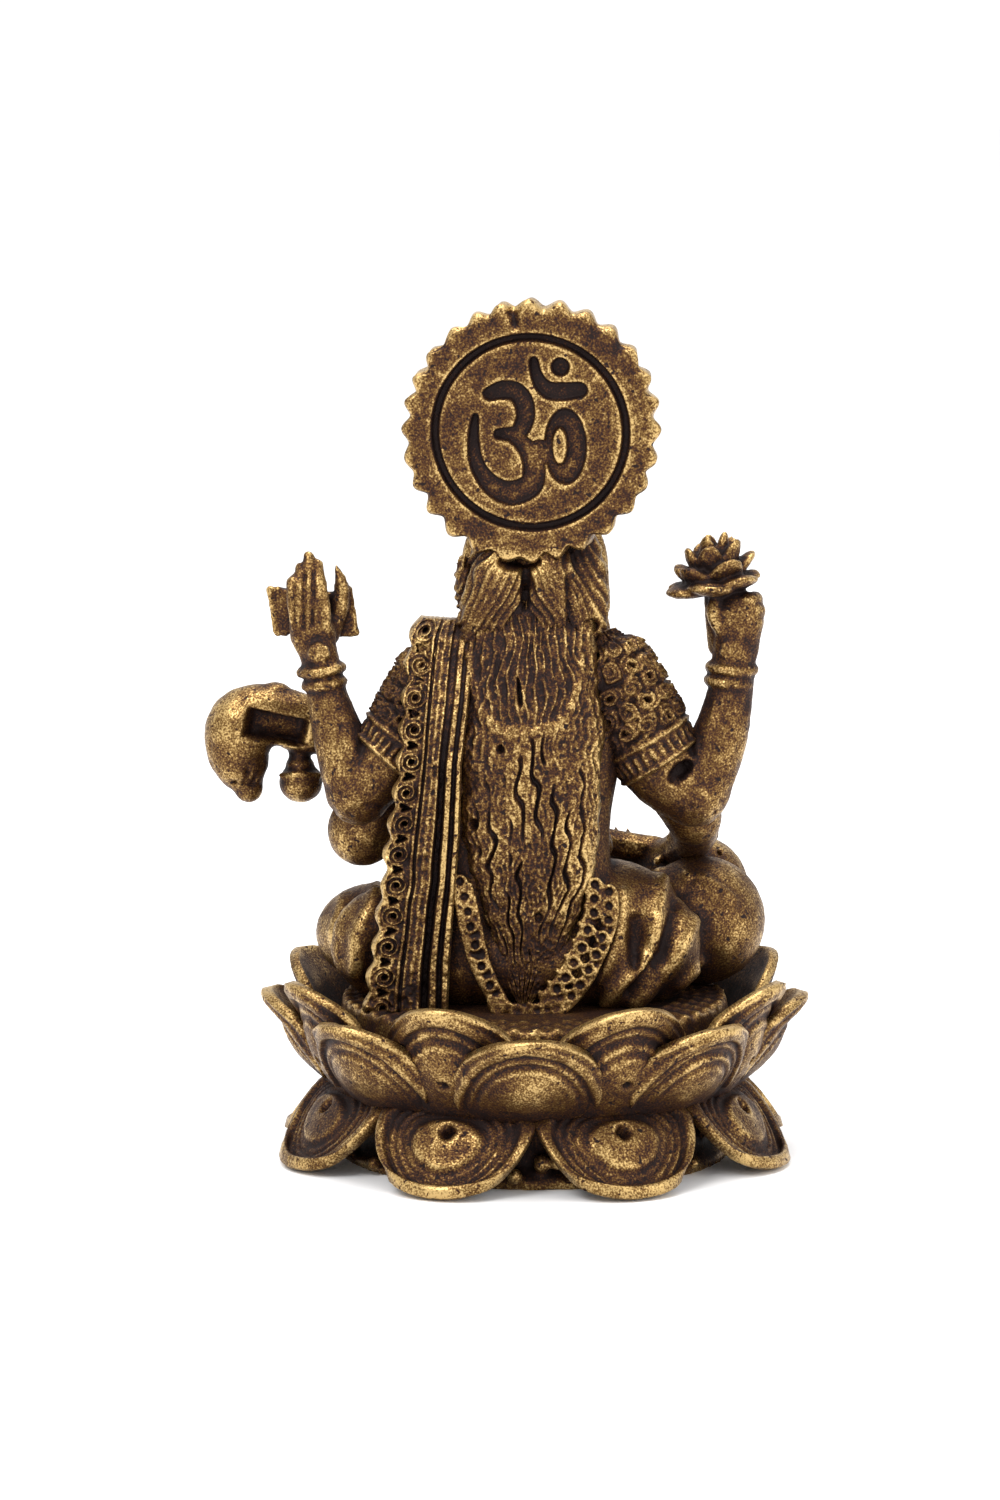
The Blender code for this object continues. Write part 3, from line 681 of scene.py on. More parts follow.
# Lower petals are dishes: a thick rim, three ridges round an almond, and a drilled hole in it
def almondRelief(rng):
    shift, strength = rng.uniform(-0.02, 0.02), rng.uniform(0.24, 0.32)

    def relief(p, q):
        ring = np.sqrt(p * p + ((q - 0.12) / 0.88) ** 2)
        rim = 0.42 * smoothStep(0.80, 0.86, ring) - 0.3 * smoothStep(0.95, 1.0, ring)
        crest = np.cos(2 * math.pi * (ring - 0.79 + shift) / 0.112)
        waves = smoothStep(0.1, 0.95, crest) * smoothStep(0.46, 0.52, ring)
        waves = -strength * waves * (1 - smoothStep(0.80, 0.86, ring))
        heart = np.hypot(p * 0.95, (q - 0.16) * 1.25)
        almond = 0.45 * (1 - smoothStep(0.36, 0.45, heart)) + 0.15 * (1 - smoothStep(0.0, 0.36, heart))
        hole = 1.8 * (1 - smoothStep(0.055, 0.085, np.hypot(p, (q - 0.02) * 0.82)))
        return rim + waves + almond - hole - 0.10
    return relief


def cutAtFloor(obj):
    points = readPoints(obj.data)
    points[:, 2] = np.maximum(points[:, 2], 0)
    writePoints(obj.data, points)


def makeThrone():
    top, waist, bowl, wall = seat["height"], seat["waistHeight"], seat["bowlRadius"], lotus["wall"]
    foot = lotus["footRadius"]
    half = 180 / lotus["petals"]
    inner = risingSpine(lotus["innerRadius"], lotus["innerHeight"])
    outer = risingSpine(lotus["outerRadius"], lotus["outerHeight"])
    petalRow("innerPetals", inner, lotus["width"], half, wall, 1.9, archRelief(True))
    petalRow("outerPetals", outer, lotus["width"], lotus["outerTurn"], wall, 1.7, archRelief(False))
    cutAtFloor(petalRow("lowerPetals", fallingSpine, lotus["lowerWidth"], half, lotus["lowerWall"], 0.6,
                        almondRelief))
    neck = seat["waistRadius"] + 0.6
    turned([(0, top), (seat["radius"], top), (bowl, 0.5 * (top + waist)),
            (bowl - 0.4 * wall, waist + 0.3 * wall), (neck, waist - 0.4), (neck, waist - 1.6),
            (foot, 0.3 * waist), (foot + 1.3, 0.8), (foot + 1.3, 0.0), (0, 0.0)])
    # beads of the seed pod round the seat, and lumps left between the lower petals
    for row, (radius, count) in enumerate(lotus["seatBeads"]):
        for number in range(count):
            ball(around(radius, 2 * math.pi * (number + 0.5 * row) / count, 0.0), (0.62, 0.62, 0.55))
    rng = np.random.default_rng(3)
    for number in range(lotus["lumps"]):
        turn = 2 * math.pi * (number + rng.uniform(-0.3, 0.3)) / lotus["lumps"]
        radius = foot + rng.uniform(0.6, 2.6)
        size = rng.uniform(0.6, 1.1)
        ball(around(radius, turn, rng.uniform(1.0, 4.0) - top), (size, size, size))
    cutAtFloor(fuse("throne", **lotus["cast"]))


# Halo: one disc whose back is a fine grid with the ring and the sign sunk into it

halo = {
    "radius": 12.9, "scallop": 0.5, "scallops": 28, "thick": 2.6, "lean": 4.0, "turn": -5.0, "stretch": 0.02,
    "centre": (0.4, 5.7, 58.13), "ring": 9.5, "ringWidth": 0.78, "depth": 0.8, "dense": 190,
    # the sunk sign, as shares of the ring's inner radius: strokes of points and widths, then ovals
    "strokes": (
        (((-0.44, 0.42), (-0.31, 0.46), (-0.17, 0.45), (-0.08, 0.35), (-0.05, 0.20), (-0.08, 0.08),
          (-0.15, -0.01), (-0.34, -0.02)),
         (0.15, 0.20, 0.21, 0.21, 0.20, 0.19, 0.17, 0.12)),
        (((-0.20, -0.05), (-0.08, -0.13), (0.01, -0.26), (0.04, -0.42), (0.00, -0.58), (-0.20, -0.67),
          (-0.39, -0.61), (-0.53, -0.46), (-0.60, -0.30), (-0.62, -0.15), (-0.62, 0.00), (-0.60, 0.17)),
         (0.12, 0.18, 0.23, 0.24, 0.25, 0.27, 0.23, 0.18, 0.15, 0.13, 0.11, 0.07)),
        (((0.04, 0.78), (0.06, 0.66), (0.12, 0.53), (0.21, 0.46), (0.35, 0.45), (0.54, 0.47)),
         (0.10, 0.12, 0.16, 0.19, 0.20, 0.17)),
    ),
    "loops": ((0.38, -0.15, 0.23, 0.42), (0.11, -0.22, 0.15, 0.14)), "island": (0.32, -0.15, 0.08, 0.19),
    "dot": (0.33, 0.72, 0.10, 0.10),
    # flaws of the casting beside the top of the ring: x, y, size and depth
    "flaws": ((-1.75, 11.9, 0.55, 0.7), (-1.55, 10.9, 0.40, 0.6), (-1.2, 12.6, 0.35, 0.5)),
}


def ovalDistance(x, y, oval, scale):
    cx, cy, across, up = (value * scale for value in oval)
    share = np.hypot((x - cx) / across, (y - cy) / up)
    return (share - 1) * min(across, up)


# How far each spot is outside a stroke that runs smoothly through the points
def strokeDistance(x, y, points, widths, scale):
    best = np.full(len(x), 1e3)
    fine = []
    for i in range(len(points) - 1):
        before, after = points[max(i - 1, 0)], points[min(i + 2, len(points) - 1)]
        for s in range(6):
            t = s / 6
            spot = [0.5 * (2 * b + (c - a) * t + (2 * a - 5 * b + 4 * c - d) * t * t
                           + (3 * (b - c) + d - a) * t ** 3)
                    for a, b, c, d in zip(before, points[i], points[i + 1], after)]
            fine.append((spot[0], spot[1], widths[i] + (widths[i + 1] - widths[i]) * t))
    fine.append((*points[-1], widths[-1]))
    for (ax, ay, aw), (bx, by, bw) in zip(fine, fine[1:]):
        ax, ay, bx, by, aw, bw = (value * scale for value in (ax, ay, bx, by, aw, bw))
        dx, dy = bx - ax, by - ay
        t = np.clip(((x - ax) * dx + (y - ay) * dy) / (dx * dx + dy * dy), 0, 1)
        gap = np.hypot(x - ax - dx * t, y - ay - dy * t) - 0.5 * (aw + (bw - aw) * t)
        best = np.minimum(best, gap)
    return best


# x and y are millimetres on the halo's back, as seen from behind
def haloRelief(x, y):
    inner = halo["ring"] - 0.5 * halo["ringWidth"]
    cut = np.abs(np.hypot(x, y) - halo["ring"]) - 0.5 * halo["ringWidth"]
    for points, widths in halo["strokes"]:
        cut = np.minimum(cut, strokeDistance(x, y, points, widths, inner))
    island = -ovalDistance(x, y, halo["island"], inner)
    for oval in halo["loops"]:
        cut = np.minimum(cut, np.maximum(ovalDistance(x, y, oval, inner), island))
    cut = np.minimum(cut, ovalDistance(x, y, halo["dot"], inner))
    sunk = -halo["depth"] * (1 - smoothStep(-0.16, 0.06, cut))
    lip = 0.07 * np.exp(-((cut - 0.20) / 0.10) ** 2)
    return sunk + lip


# The grid stays round inside and takes up the outline of the edge near it
def haloReach(edge, share, turn):
    edge = edge * (1 + halo["stretch"] * np.cos(2 * turn - 1))
    blend = smoothStep(0.80, 1.0, share)
    return share * (edge * blend + halo["radius"] * (1 - blend))


def makeHalo():
    dense = halo["dense"]
    obj, u, v = carvedGrid("haloDisc", dense, dense)
    p, q = roundGrid(u, v)
    share, turn = np.hypot(p, q), np.arctan2(p, q)
    # the crests of the edge are narrower than its valleys, and no two are quite alike
    rng = np.random.default_rng(4)
    waver = sum(rng.uniform(-0.012, 0.012) * np.sin(k * turn + rng.uniform(0, 6)) for k in range(3, 9))
    wave = (0.5 + 0.5 * np.cos(halo["scallops"] * (turn + waver))) ** 0.85
    depth = halo["scallop"] * (1.5 + 0.35 * np.sin(5 * turn + 1) + 0.25 * np.sin(11 * turn))
    drift = sum(rng.uniform(-0.07, 0.07) * np.cos(k * turn + rng.uniform(0, 6)) for k in range(2, 7))
    reach = haloReach(halo["radius"] + 0.12 - depth * (1 - wave) + drift, share, turn)
    x, y = reach * np.sin(turn), reach * np.cos(turn)
    relief = haloRelief(x, y)
    # dips run in from the valleys, and the edge is rounded over
    outer = smoothStep(0.86, 0.97, share)
    relief += 0.20 * outer * (wave - 0.7) - 0.42 * smoothStep(0.972, 1.0, share)
    for fx, fy, size, deep in halo["flaws"]:
        relief -= deep * np.exp(-(((x - fx) / size) ** 2 + ((y - fy) / (1.2 * size)) ** 2))
    back = np.stack([x, y, 0.5 * halo["thick"] + relief], axis=1) * mm
    grain = 0.055 * castNoise(back, 1.6) + 0.040 * castNoise(back, 0.6, 2.2)
    back[:, 2] += (grain + 0.03 * castNoise(back, 0.3, 5)) * mm
    writePoints(obj.data, back)
    # the front has rays and a plain middle ring, and its rim is rough
    other, u, v = carvedGrid("haloFront", dense // 2, dense // 2)
    p, q = roundGrid(u, v)
    share, turn = np.hypot(p, q), np.arctan2(p, q)
    wave = (0.5 + 0.5 * np.cos(halo["scallops"] * turn)) ** 0.85
    reach = haloReach(halo["radius"] + 0.12 - 1.5 * halo["scallop"] * (1 - wave), share, turn)
    rays = 0.34 * (wave - 0.5) * smoothStep(0.60, 0.72, share) - 0.30 * np.exp(-((share - 0.56) / 0.025) ** 2)
    rays += 0.30 * np.exp(-((share - 0.90) / 0.03) ** 2)
    front = np.stack([reach * np.sin(turn), reach * np.cos(turn),
                      -0.5 * halo["thick"] + 0.35 * smoothStep(0.965, 1.0, share) - rays], axis=1) * mm
    front[:, 2] += 0.10 * castNoise(front, 0.8) * mm
    writePoints(other.data, front)
    other.data.flip_normals()
    joined(obj, other)
    bpy.ops.object.mode_set(mode="EDIT")
    bridgeRims()
    bpy.ops.object.mode_set(mode="OBJECT")
    lean, twist = math.radians(90 + halo["lean"]), math.pi + math.radians(halo["turn"])
    obj.data.transform(Matrix.Translation(at(*halo["centre"])) @ Euler((lean, 0, twist)).to_matrix().to_4x4())
    obj.data.update()
    keep(obj)


# Body, legs and the front of the dress

body = {
    "cast": {"grain": 0.27, "smoothing": 6, "limit": 84000, "rough": 0.04},
    "beltBeads": 34, "skirtFolds": 6, "necklaceBeads": 17,
    # folds behind the knees: points, width and height; a negative height sinks
    "folds": (
        (((-12.6, 12.0), (-12.2, 8.4), (-11.0, 4.4), (-7.2, 1.0)), 0.95, 1.0),
        (((-15.8, 8.2), (-13.8, 4.2), (-10.2, 0.6)), 0.85, 0.8),
        (((-8.8, 11.4), (-8.3, 7.0), (-6.6, 3.0)), 0.75, 0.6),
        (((-14.3, 10.2), (-12.9, 5.6), (-9.4, 1.6)), 0.50, -0.8),
        (((-10.3, 9.0), (-9.9, 4.8)), 0.55, -1.1),
        (((-16.8, 3.6), (-14.6, 2.0)), 0.55, 0.6),
        (((15.6, 11.6), (17.9, 7.0), (18.1, 3.2)), 0.80, 0.60),
        (((14.4, 9.4), (16.3, 5.8), (16.7, 2.2)), 0.50, -0.7),
        (((19.6, 9.4), (20.5, 6.2), (19.8, 3.0)), 0.55, 0.35),
        (((-15.4, 12.2), (-17.4, 12.0), (-20.4, 9.8)), 0.30, 0.35),
    ),
}


def makeBody():
    ball((0, 0.5, 4.5), (13, 8.2, 6.0))
    ball((-7, 0.6, 7.6), (8.4, 6.6, 6.6))
    ball((6, 0, 8.0), (7, 6, 5.5))
    for side, knee in ((1, (16.3, -5, 5.6)), (-1, (-16.6, -5.5, 6.8))):
        limb([(5 * side, 1, 5), (11 * side, -2, 5.6), knee], (6, 5.6, 5.2))
    ball((-17.1, -5.5, 6.9), (6.6, 6.2, 6.6))
    ball((16.4, -5.5, 5.6), (6.0, 6.0, 5.0))
    limb([(16, -8, 3.6), (8, -12.5, 3.4), (-3, -14.5, 3.0)], (3.8, 3.2, 2.2))
    limb([(-16, -8, 3.8), (-8, -13.5, 3.4), (3.5, -16.5, 2.6)], (3.8, 3.0, 2.0))
    ball((-6, -15, 2.4), (3.4, 1.8, 1.5), (0, 0, 15))
    ball((7, -17, 2.0), (3.4, 1.8, 1.4), (0, 0, -12))
    ball((0, -9, 3), (13, 8, 3.4))
    for number in range(5):
        ball((9.6 + 0.1 * number, -17.6 + 0.72 * number, 1.9), (0.7, 0.45, 0.6))
        ball((-9.0 - 0.1 * number, -14.6 - 0.1 * number, 3.2 - 0.55 * number), (0.7, 0.5, 0.4))
    # torso
    ball((0, 0.8, 14), (7, 6, 9))
    ball((0, 0.4, 26), (9.0, 6.2, 8.5))
    for side in (1, -1):
        ball((3.5 * side, -3.7, 26.6), (3.7, 3.3, 3.5))
        ball((8.2 * side, 1.0, 32.5), (3.7, 3.7, 3.8))
        ball((6.4 * side, 1.0, 35.8), (2.7, 2.6, 2.2))
    limb([(0, 0.3, 31), (0, -0.5, 36), (0, -0.8, 41)], (4.2, 3.1, 3.1))
    limb([(8.4, -3.2, 34), (2.4, -7.6, 26.5), (-4, -6.0, 20), (-6.5, -3, 15)], (2.0, 1.7, 1.8, 1.6))
    for shift in (-1.1, 0.0, 1.1):
        limb([(8.4 + shift, -4.6, 34 + shift), (2.4 + shift, -8.9, 26.5 + 0.6 * shift),
              (-4 + shift, -7.5, 20 + 0.6 * shift), (-6.5 + shift, -4.3, 15)], (0.45, 0.45, 0.45, 0.4))
    # necklaces, belt and folds
    count = body["necklaceBeads"]
    for drop in (0.0, 3.2):
        for number in range(count):
            across = 2 * number / (count - 1) - 1
            ball((5.2 * across, -5.9 + 2.6 * across ** 2 - 0.25 * drop, 29.8 + 4.4 * across ** 2 - drop),
                 (0.55, 0.55, 0.55))
    ball((0, -6.9, 25.6), (1.1, 0.7, 1.4))
    for number in range(body["beltBeads"]):
        turn = 2 * math.pi * number / body["beltBeads"]
        ball((7.3 * math.sin(turn), 0.9 - 6.4 * math.cos(turn), 13.6), (0.62, 0.62, 0.7))
    for side in (1, -1):
        for number in range(body["skirtFolds"]):
            drop = (1.2 + 1.45 * number) * 0.6
            limb([(0.4 * side, -8.2 - 0.75 * number, 8.6 - number), (8.6 * side, -9.9, 9.0 - 0.9 * number),
                  (15.0 * side, -10.1, 7.6 - drop), (19.6 * side, -7.6, 6.8 - drop)], (0.6, 0.6, 0.5, 0.3))
    ball((-8.5, 5.2, 4.2), (3.6, 2.6, 4.6), (0, 25, 0))
    ball((-12.0, 2.2, 5.6), (4.8, 4.2, 5.8))
    ball((15.6, 1.0, 5.6), (4.8, 4.0, 5.6))
    limb([(7.2, 3.2, 4.0), (6.8, 3.0, 16.0), (7.4, 2.6, 26.0), (8.2, 1.2, 33.0)], (4.4, 3.9, 4.2, 3.6))
    limb([(-4.6, 3.0, 6.0), (-4.4, 2.6, 18.0), (-5.4, 2.2, 28.0)], (3.6, 3.2, 3.8))
    limb([(12.6, 4.6, 1.6), (12.0, 4.6, 10.0), (10.8, 4.2, 20.0), (10.0, 3.0, 29.0)], (3.5, 3.3, 3.2, 3.2))
    obj = fuse("seatedBody", **body["cast"])
    for path, width, height in body["folds"]:
        crease(obj.data, path, width, height)
    for number in range(6):
        crease(obj.data, [(-16.6 - 0.72 * number, 11.3 - 0.42 * number)], 0.34, 0.40)


# Long hair down the back: one carved loaf, with the shorter upper fall sunk into it

hair = {
    "heights": (0.6, 2.2, 5.3, 8.4, 11.5, 17.5, 25.0, 32.0, 38.0, 41.0),
    "middle": (1.0, 0.9, 0.6, 0.4, 0.3, 0.4, 0.5, 0.4, 0.4, 0.4),
    "depth": (8.0, 7.8, 7.4, 7.0, 6.7, 6.3, 6.0, 5.2, 3.6, 2.2),
    "reach": (0.6, 1.7, 3.2, 4.4, 5.5, 6.9, 7.3, 7.1, 6.7, 6.3),
    "locks": 4.4, "groove": 0.60, "across": 150, "along": 360,
    # drilled holes: x, z, size and depth
    "holes": ((6.2, 18.9, 0.55, 1.4), (3.5, 26.6, 0.42, 0.9), (-0.4, 9.6, 0.5, 0.6)),
}


def hairRelief(x, z, share, spot):
    drift = castNoise(spot, 5.0, 1.5)
    lock = hair["locks"] * share + 0.17 * np.sin(1.45 * z + 1.6 * x + 2 * drift) + 0.8 * drift
    streak = castNoise(spot * [1, 1, 0.20], 1.15, 4.4)
    parted = smoothStep(-0.20, 0.35, streak) * (1 - smoothStep(26.5, 28.5, z))
    relief = -hair["groove"] * smoothStep(0.60, 0.99, np.cos(2 * math.pi * lock)) * parted
    fine = np.cos(2 * math.pi * (12.5 * share + 0.3 * np.sin(1.9 * z + 3 * drift) + 1.6 * drift))
    patches = smoothStep(-0.2, 0.5, castNoise(spot * [1, 1, 0.3], 1.4, 9.1))
    relief += 0.06 * fine * patches * smoothStep(5, 13, z)
    # the upper fall: a sunk U of thin raised strands over a ledge
    bowl = (np.abs((x - 1.0) / 5.7) ** 3 + np.abs((z - 41.5) / 12.9) ** 3) ** (1 / 3)
    inside = 1 - smoothStep(0.93, 1.0, bowl)
    strands = np.cos(2 * math.pi * ((x + 0.13 * np.sin(1.5 * z + 1.3 * x) + 0.9 * drift) / 0.86))
    relief += inside * (-0.26 + 0.17 * smoothStep(0.1, 0.98, strands))
    relief += inside * 0.14 * castNoise(spot * [1, 1, 0.35], 0.8, 7.0)
    relief += 0.24 * np.exp(-((bowl - 1.04) / 0.05) ** 2) * (z < 36)
    slit = np.hypot((x - 1.6 - 0.12 * (z - 32)) / 0.26, (z - 32.2) / 1.7)
    relief -= 0.9 * (1 - smoothStep(0.6, 1.0, slit))
    for hx, hz, size, deep in hair["holes"]:
        relief -= deep * (1 - smoothStep(0.5, 1.0, np.hypot(x - hx, 0.8 * (z - hz)) / size))
    return relief + 0.13 * castNoise(spot * [1, 1, 0.6], 0.62, 6.0) + 0.085 * castNoise(spot, 0.31, 8.0)


def makeHair():
    obj, u, v = carvedGrid("longHair", hair["across"], hair["along"])
    share = -u
    low, high = hair["heights"][0], hair["heights"][-1]
    z = low + (high - low) * (v + 1) / 2
    middle, depth, reach = (np.interp(z, hair["heights"], hair[key]) for key in ("middle", "depth", "reach"))
    ragged = 1 + 0.06 * castNoise(np.stack([0 * z, np.sign(share), z], axis=1) * mm, 1.6)
    x = middle + share * reach * ragged
    y = depth + 0.42 * reach * (1 - np.abs(share) ** 2.8 * 0.999) ** 0.5
    spot = np.stack([x, y, z], axis=1) * mm
    relief = hairRelief(x, z, share, spot)
    writePoints(obj.data, pointsAt(x + 0.7 * relief * share, y + relief * (1 - 0.3 * share ** 2), z))
    closePiece(obj, (0, -4.5, 0))


# The combed head of hair above the fall: two flared lumps either side of a parting, and curls at the ears

crownHair = {
    "cast": {"grain": 0.22, "smoothing": 1, "limit": 60000, "rough": 0.045},
    "curls": 7, "strandWidth": 0.85,
}


def makeCrownOfHair():
    ball((0.4, 0.4, 45.0), (6.2, 4.3, 5.6))
    ball((0.4, 1.6, 40.2), (6.8, 3.8, 5.0))
    limb([(1.9, 2.6, 46.4), (3.6, 4.1, 43.4), (5.2, 4.3, 40.2), (6.5, 4.2, 37.5)], (2.2, 2.9, 2.4, 1.0))
    limb([(-0.8, 2.6, 46.4), (-1.6, 4.1, 43.4), (-2.4, 4.5, 40.2), (-3.0, 4.6, 38.0)], (2.2, 2.7, 2.2, 1.0))
    limb([(-4.4, 2.0, 46.0), (-5.2, 2.9, 42.4), (-5.6, 3.4, 38.8)], (2.2, 2.2, 1.7))
    limb([(2.2, 3.3, 44.6), (2.9, 4.4, 41.6), (3.9, 4.9, 38.9)], (1.6, 2.0, 1.3))
    limb([(-0.4, 3.3, 44.6), (-0.7, 4.4, 41.8), (-1.5, 4.9, 39.4)], (1.5, 1.8, 1.3))
    limb([(-3.4, 2.8, 45.0), (-4.0, 3.8, 41.6), (-4.4, 4.3, 38.6)], (1.6, 1.9, 1.3))
    for side in (1, -1):
        for number in range(crownHair["curls"]):
            turn = math.radians(15 + 27 * number)
            out, up = 6.7 + 0.5 * math.sin(turn), 42.4 + 2.4 * math.cos(turn)
            ringOn((0.4 + out * side, 1.2 + 0.3 * (number % 2), up), (side, 0.9, 0), 0.55)
        ball((0.4 + 6.5 * side, 0.8, 42.2), (1.2, 1.5, 2.2))
        ball((0.4 + 6.3 * side, 2.6, 38.9), (1.3, 1.2, 1.1))
    obj = fuse("crownOfHair", **crownHair["cast"])
    comb(obj.data)
    crease(obj.data, [(0.9, 44.6), (1.0, 40.4)], 0.26, -0.9)
    crease(obj.data, [(-3.3, 43.6), (-3.5, 38.4)], 0.24, -0.5)
    dent(obj.data, (1.6, 7, 45.2), (2.1, 4.5, 1.0), (0, -2.2, 0), soft=0.4)
    dent(obj.data, (-5.6, 5, 38.5), (0.8, 3, 0.7), (0, -1.3, 0), soft=0.5)


def comb(mesh):
    points, normals = readPoints(mesh), readNormals(mesh)
    x, z = points[:, 0] / mm - 0.45, points[:, 2] / mm - seat["height"]
    drift = castNoise(points, 2.6, 2.0)
    fan = (np.abs(x - 0.5) + 0.50 * (z - 41)) / crownHair["strandWidth"] + 1.1 * drift
    ridge = smoothStep(-0.6, 0.9, np.cos(2 * math.pi * fan)) * smoothStep(-0.2, 0.3, normals[:, 1])
    writePoints(mesh, points + normals * (0.24 * ridge - 0.10)[:, None] * mm)


# The end of the sari over the left shoulder: a scroll border and pleats with deep gaps between them

sash = {
    "heights": (0.2, 5.0, 12.0, 18.0, 25.0, 31.0, 37.0, 38.8),
    "left": (17.0, 16.4, 15.4, 14.6, 13.7, 13.2, 12.5, 11.6),
    "right": (8.7, 8.5, 8.0, 7.5, 7.3, 6.6, 5.9, 5.7),
    "leftDepth": (8.4, 8.3, 8.0, 7.7, 7.2, 5.7, 2.2, -0.4),
    "rightDepth": (8.7, 8.6, 8.4, 8.3, 8.3, 7.2, 4.2, 1.8),
    "scrollPitch": 3.1, "scrollStart": 3.6, "across": 100, "along": 380,
}


# A row of curls: a spiral with a drilled eye, and a leaf-shaped hole between it and the next
def scrollRow(across, along, pitch):
    number = np.round(along / pitch)
    da = across + 0.12 * np.sin(2.3 * number)
    db = along - number * pitch
    r = np.hypot(da, 1.05 * db)
    angle = np.arctan2(db, da)
    spiral = np.cos(2 * math.pi * r / 0.50 - angle + 0.6 * number)
    curl = 0.42 * smoothStep(0.0, 0.8, spiral) * (1 - smoothStep(1.0, 1.25, r)) * smoothStep(0.18, 0.34, r)
    eye = 1.2 * (1 - smoothStep(0.20, 0.33, r))
    lead = np.exp(-((np.hypot(da + 0.55, db - 0.55) - 1.15) / 0.13) ** 2) * (db > -0.2) * (da > -0.9)
    past = db - np.sign(db) * 0.5 * pitch
    tilt = 0.45 * np.sign(db)
    leaf = np.hypot((da - 0.12) / 0.72, (past - tilt * (da - 0.12)) / 0.30)
    return curl - eye + 0.22 * lead * (r > 0.8) - 1.2 * (1 - smoothStep(0.62, 1.0, leaf))


# m is the distance from the left edge, and f its share of the width
def sashRelief(m, wide, z, spot):
    f = m / wide
    drift = 0.012 * castNoise(spot * [1, 1, 0.25], 1.6, 2.0)
    f = f + drift
    deepen = 1 - smoothStep(19.0, 30.0, z)

    def band(low, high, soft=0.012):
        return smoothStep(low - soft, low + soft, f) * (1 - smoothStep(high - soft, high + soft, f))

    relief = 0.12 * band(0.0, 0.045) + 0.16 * band(0.345, 0.385) - 0.26 * band(0.395, 0.425)
    relief += (0.18 + 0.08 * np.cos(2 * math.pi * (f - 0.43) / 0.105)) * band(0.43, 0.64)
    relief -= (0.30 + 1.15 * deepen) * band(0.655, 0.745, 0.02)
    relief -= (0.30 + 0.50 * deepen) * band(0.845, 0.905, 0.015)
    relief += 0.10 * band(0.76, 0.84) + 0.05 * band(0.91, 1.0)
    border = band(0.055, 0.335)
    relief += border * (-0.08 + scrollRow(m - 0.195 * wide, z - sash["scrollStart"], sash["scrollPitch"]))
    relief += 0.16 * castNoise(spot, 1.1, 4.0)
    return relief + 0.11 * castNoise(spot, 0.62, 6.0) + 0.08 * castNoise(spot, 0.31, 8.0)


def makeSash():
    obj, u, v = carvedGrid("sariEnd", sash["across"], sash["along"])
    low, high = sash["heights"][0], sash["heights"][-1]
    z = low + (high - low) * (v + 1) / 2
    left, right, leftDepth, rightDepth = (np.interp(z, sash["heights"], sash[key])
                                          for key in ("left", "right", "leftDepth", "rightDepth"))
    share = (u + 1) / 2
    left = left + 0.15 * castNoise(np.stack([0 * z, 0 * z, z], axis=1) * mm, 2.2)
    x = left + (right - left) * share
    wide = left - right
    x = x + 0.30 * (1 - share) ** 8 * np.cos(2 * math.pi * (z - sash["scrollStart"]) / sash["scrollPitch"])
    y = leftDepth + (rightDepth - leftDepth) * share + 0.75 + 0.25 * np.sin(math.pi * share)
    spot = np.stack([x, y, z], axis=1) * mm
    relief = sashRelief(left - x, wide, z, spot)
    rounding = 0.45 * (smoothStep(0.035, 0.0, share) + smoothStep(0.965, 1.0, share))
    writePoints(obj.data, pointsAt(x, y + relief - rounding, z))
    closePiece(obj, (0, -1.9, 0))


# Lace hem that hangs in a V round the tip of the hair

lace = {
    "cast": {"grain": 0.17, "smoothing": 1, "limit": 42000, "rough": 0.04},
    # each strip: its points, half width, count of rings along it and their steps across it
    "strips": (
        (((7.5, 8.2, 13.2), (6.8, 8.7, 10.6), (6.3, 8.9, 8.0), (5.2, 9.1, 4.2), (3.6, 9.2, 1.0)),
         1.05, 8, (0,)),
        (((-6.7, 7.4, 12.4), (-6.6, 7.9, 9.6), (-5.4, 8.6, 6.2), (-3.8, 9.0, 3.2), (-2.0, 9.2, 1.0)),
         1.5, 9, (-0.72, 0.72)),
        (((3.8, 9.3, 0.5), (0.8, 9.4, 0.2), (-2.2, 9.3, 0.5)), 0.8, 4, (0,)),
    ),
}


def makeHem():
    for path, wide, count, steps in lace["strips"]:
        for shift in (-wide, wide):
            limb([(x + shift, y - 0.15, z + 0.35 * shift) for x, y, z in path], [0.24] * len(path))
        for shift in (-0.5 * wide, 0.5 * wide):
            limb([(x + shift, y - 0.65, z + 0.35 * shift) for x, y, z in path], [0.62] * len(path), flat=0.7)
        for number in range(count):
            spot = alongLine(path, number / (count - 1))
            for step in steps:
                centre = (spot[0] + step, spot[1] + 0.02, spot[2] + 0.5 * step)
                ringOn(centre, (0, 1, 0.1), 0.58)
                ball((centre[0] + 0.75, centre[1] - 0.1, centre[2] + 0.62), (0.3, 0.3, 0.42), (0, 35, 0))
    fuse("laceHem", **lace["cast"])


# The sleeves are carved grids wrapped round the upper arms

sleeves = {
    "around": 200, "along": 100, "cell": 2.05,
    # each sleeve: its name, its points from the shoulder down and its radii
    "made": (
        ("rightSleeve", ((-6.4, 1.0, 37.3), (-8.3, 1.4, 32.9), (-10.2, 1.7, 28.4), (-12.9, 2.0, 24.2)),
         (3.1, 4.6, 4.7, 4.35)),
        ("leftSleeve", ((7.6, 1.0, 37.0), (9.7, 1.4, 32.6), (12.3, 1.9, 28.2), (15.2, 2.2, 24.6)),
         (3.0, 4.5, 4.3, 3.9)),
    ),
}


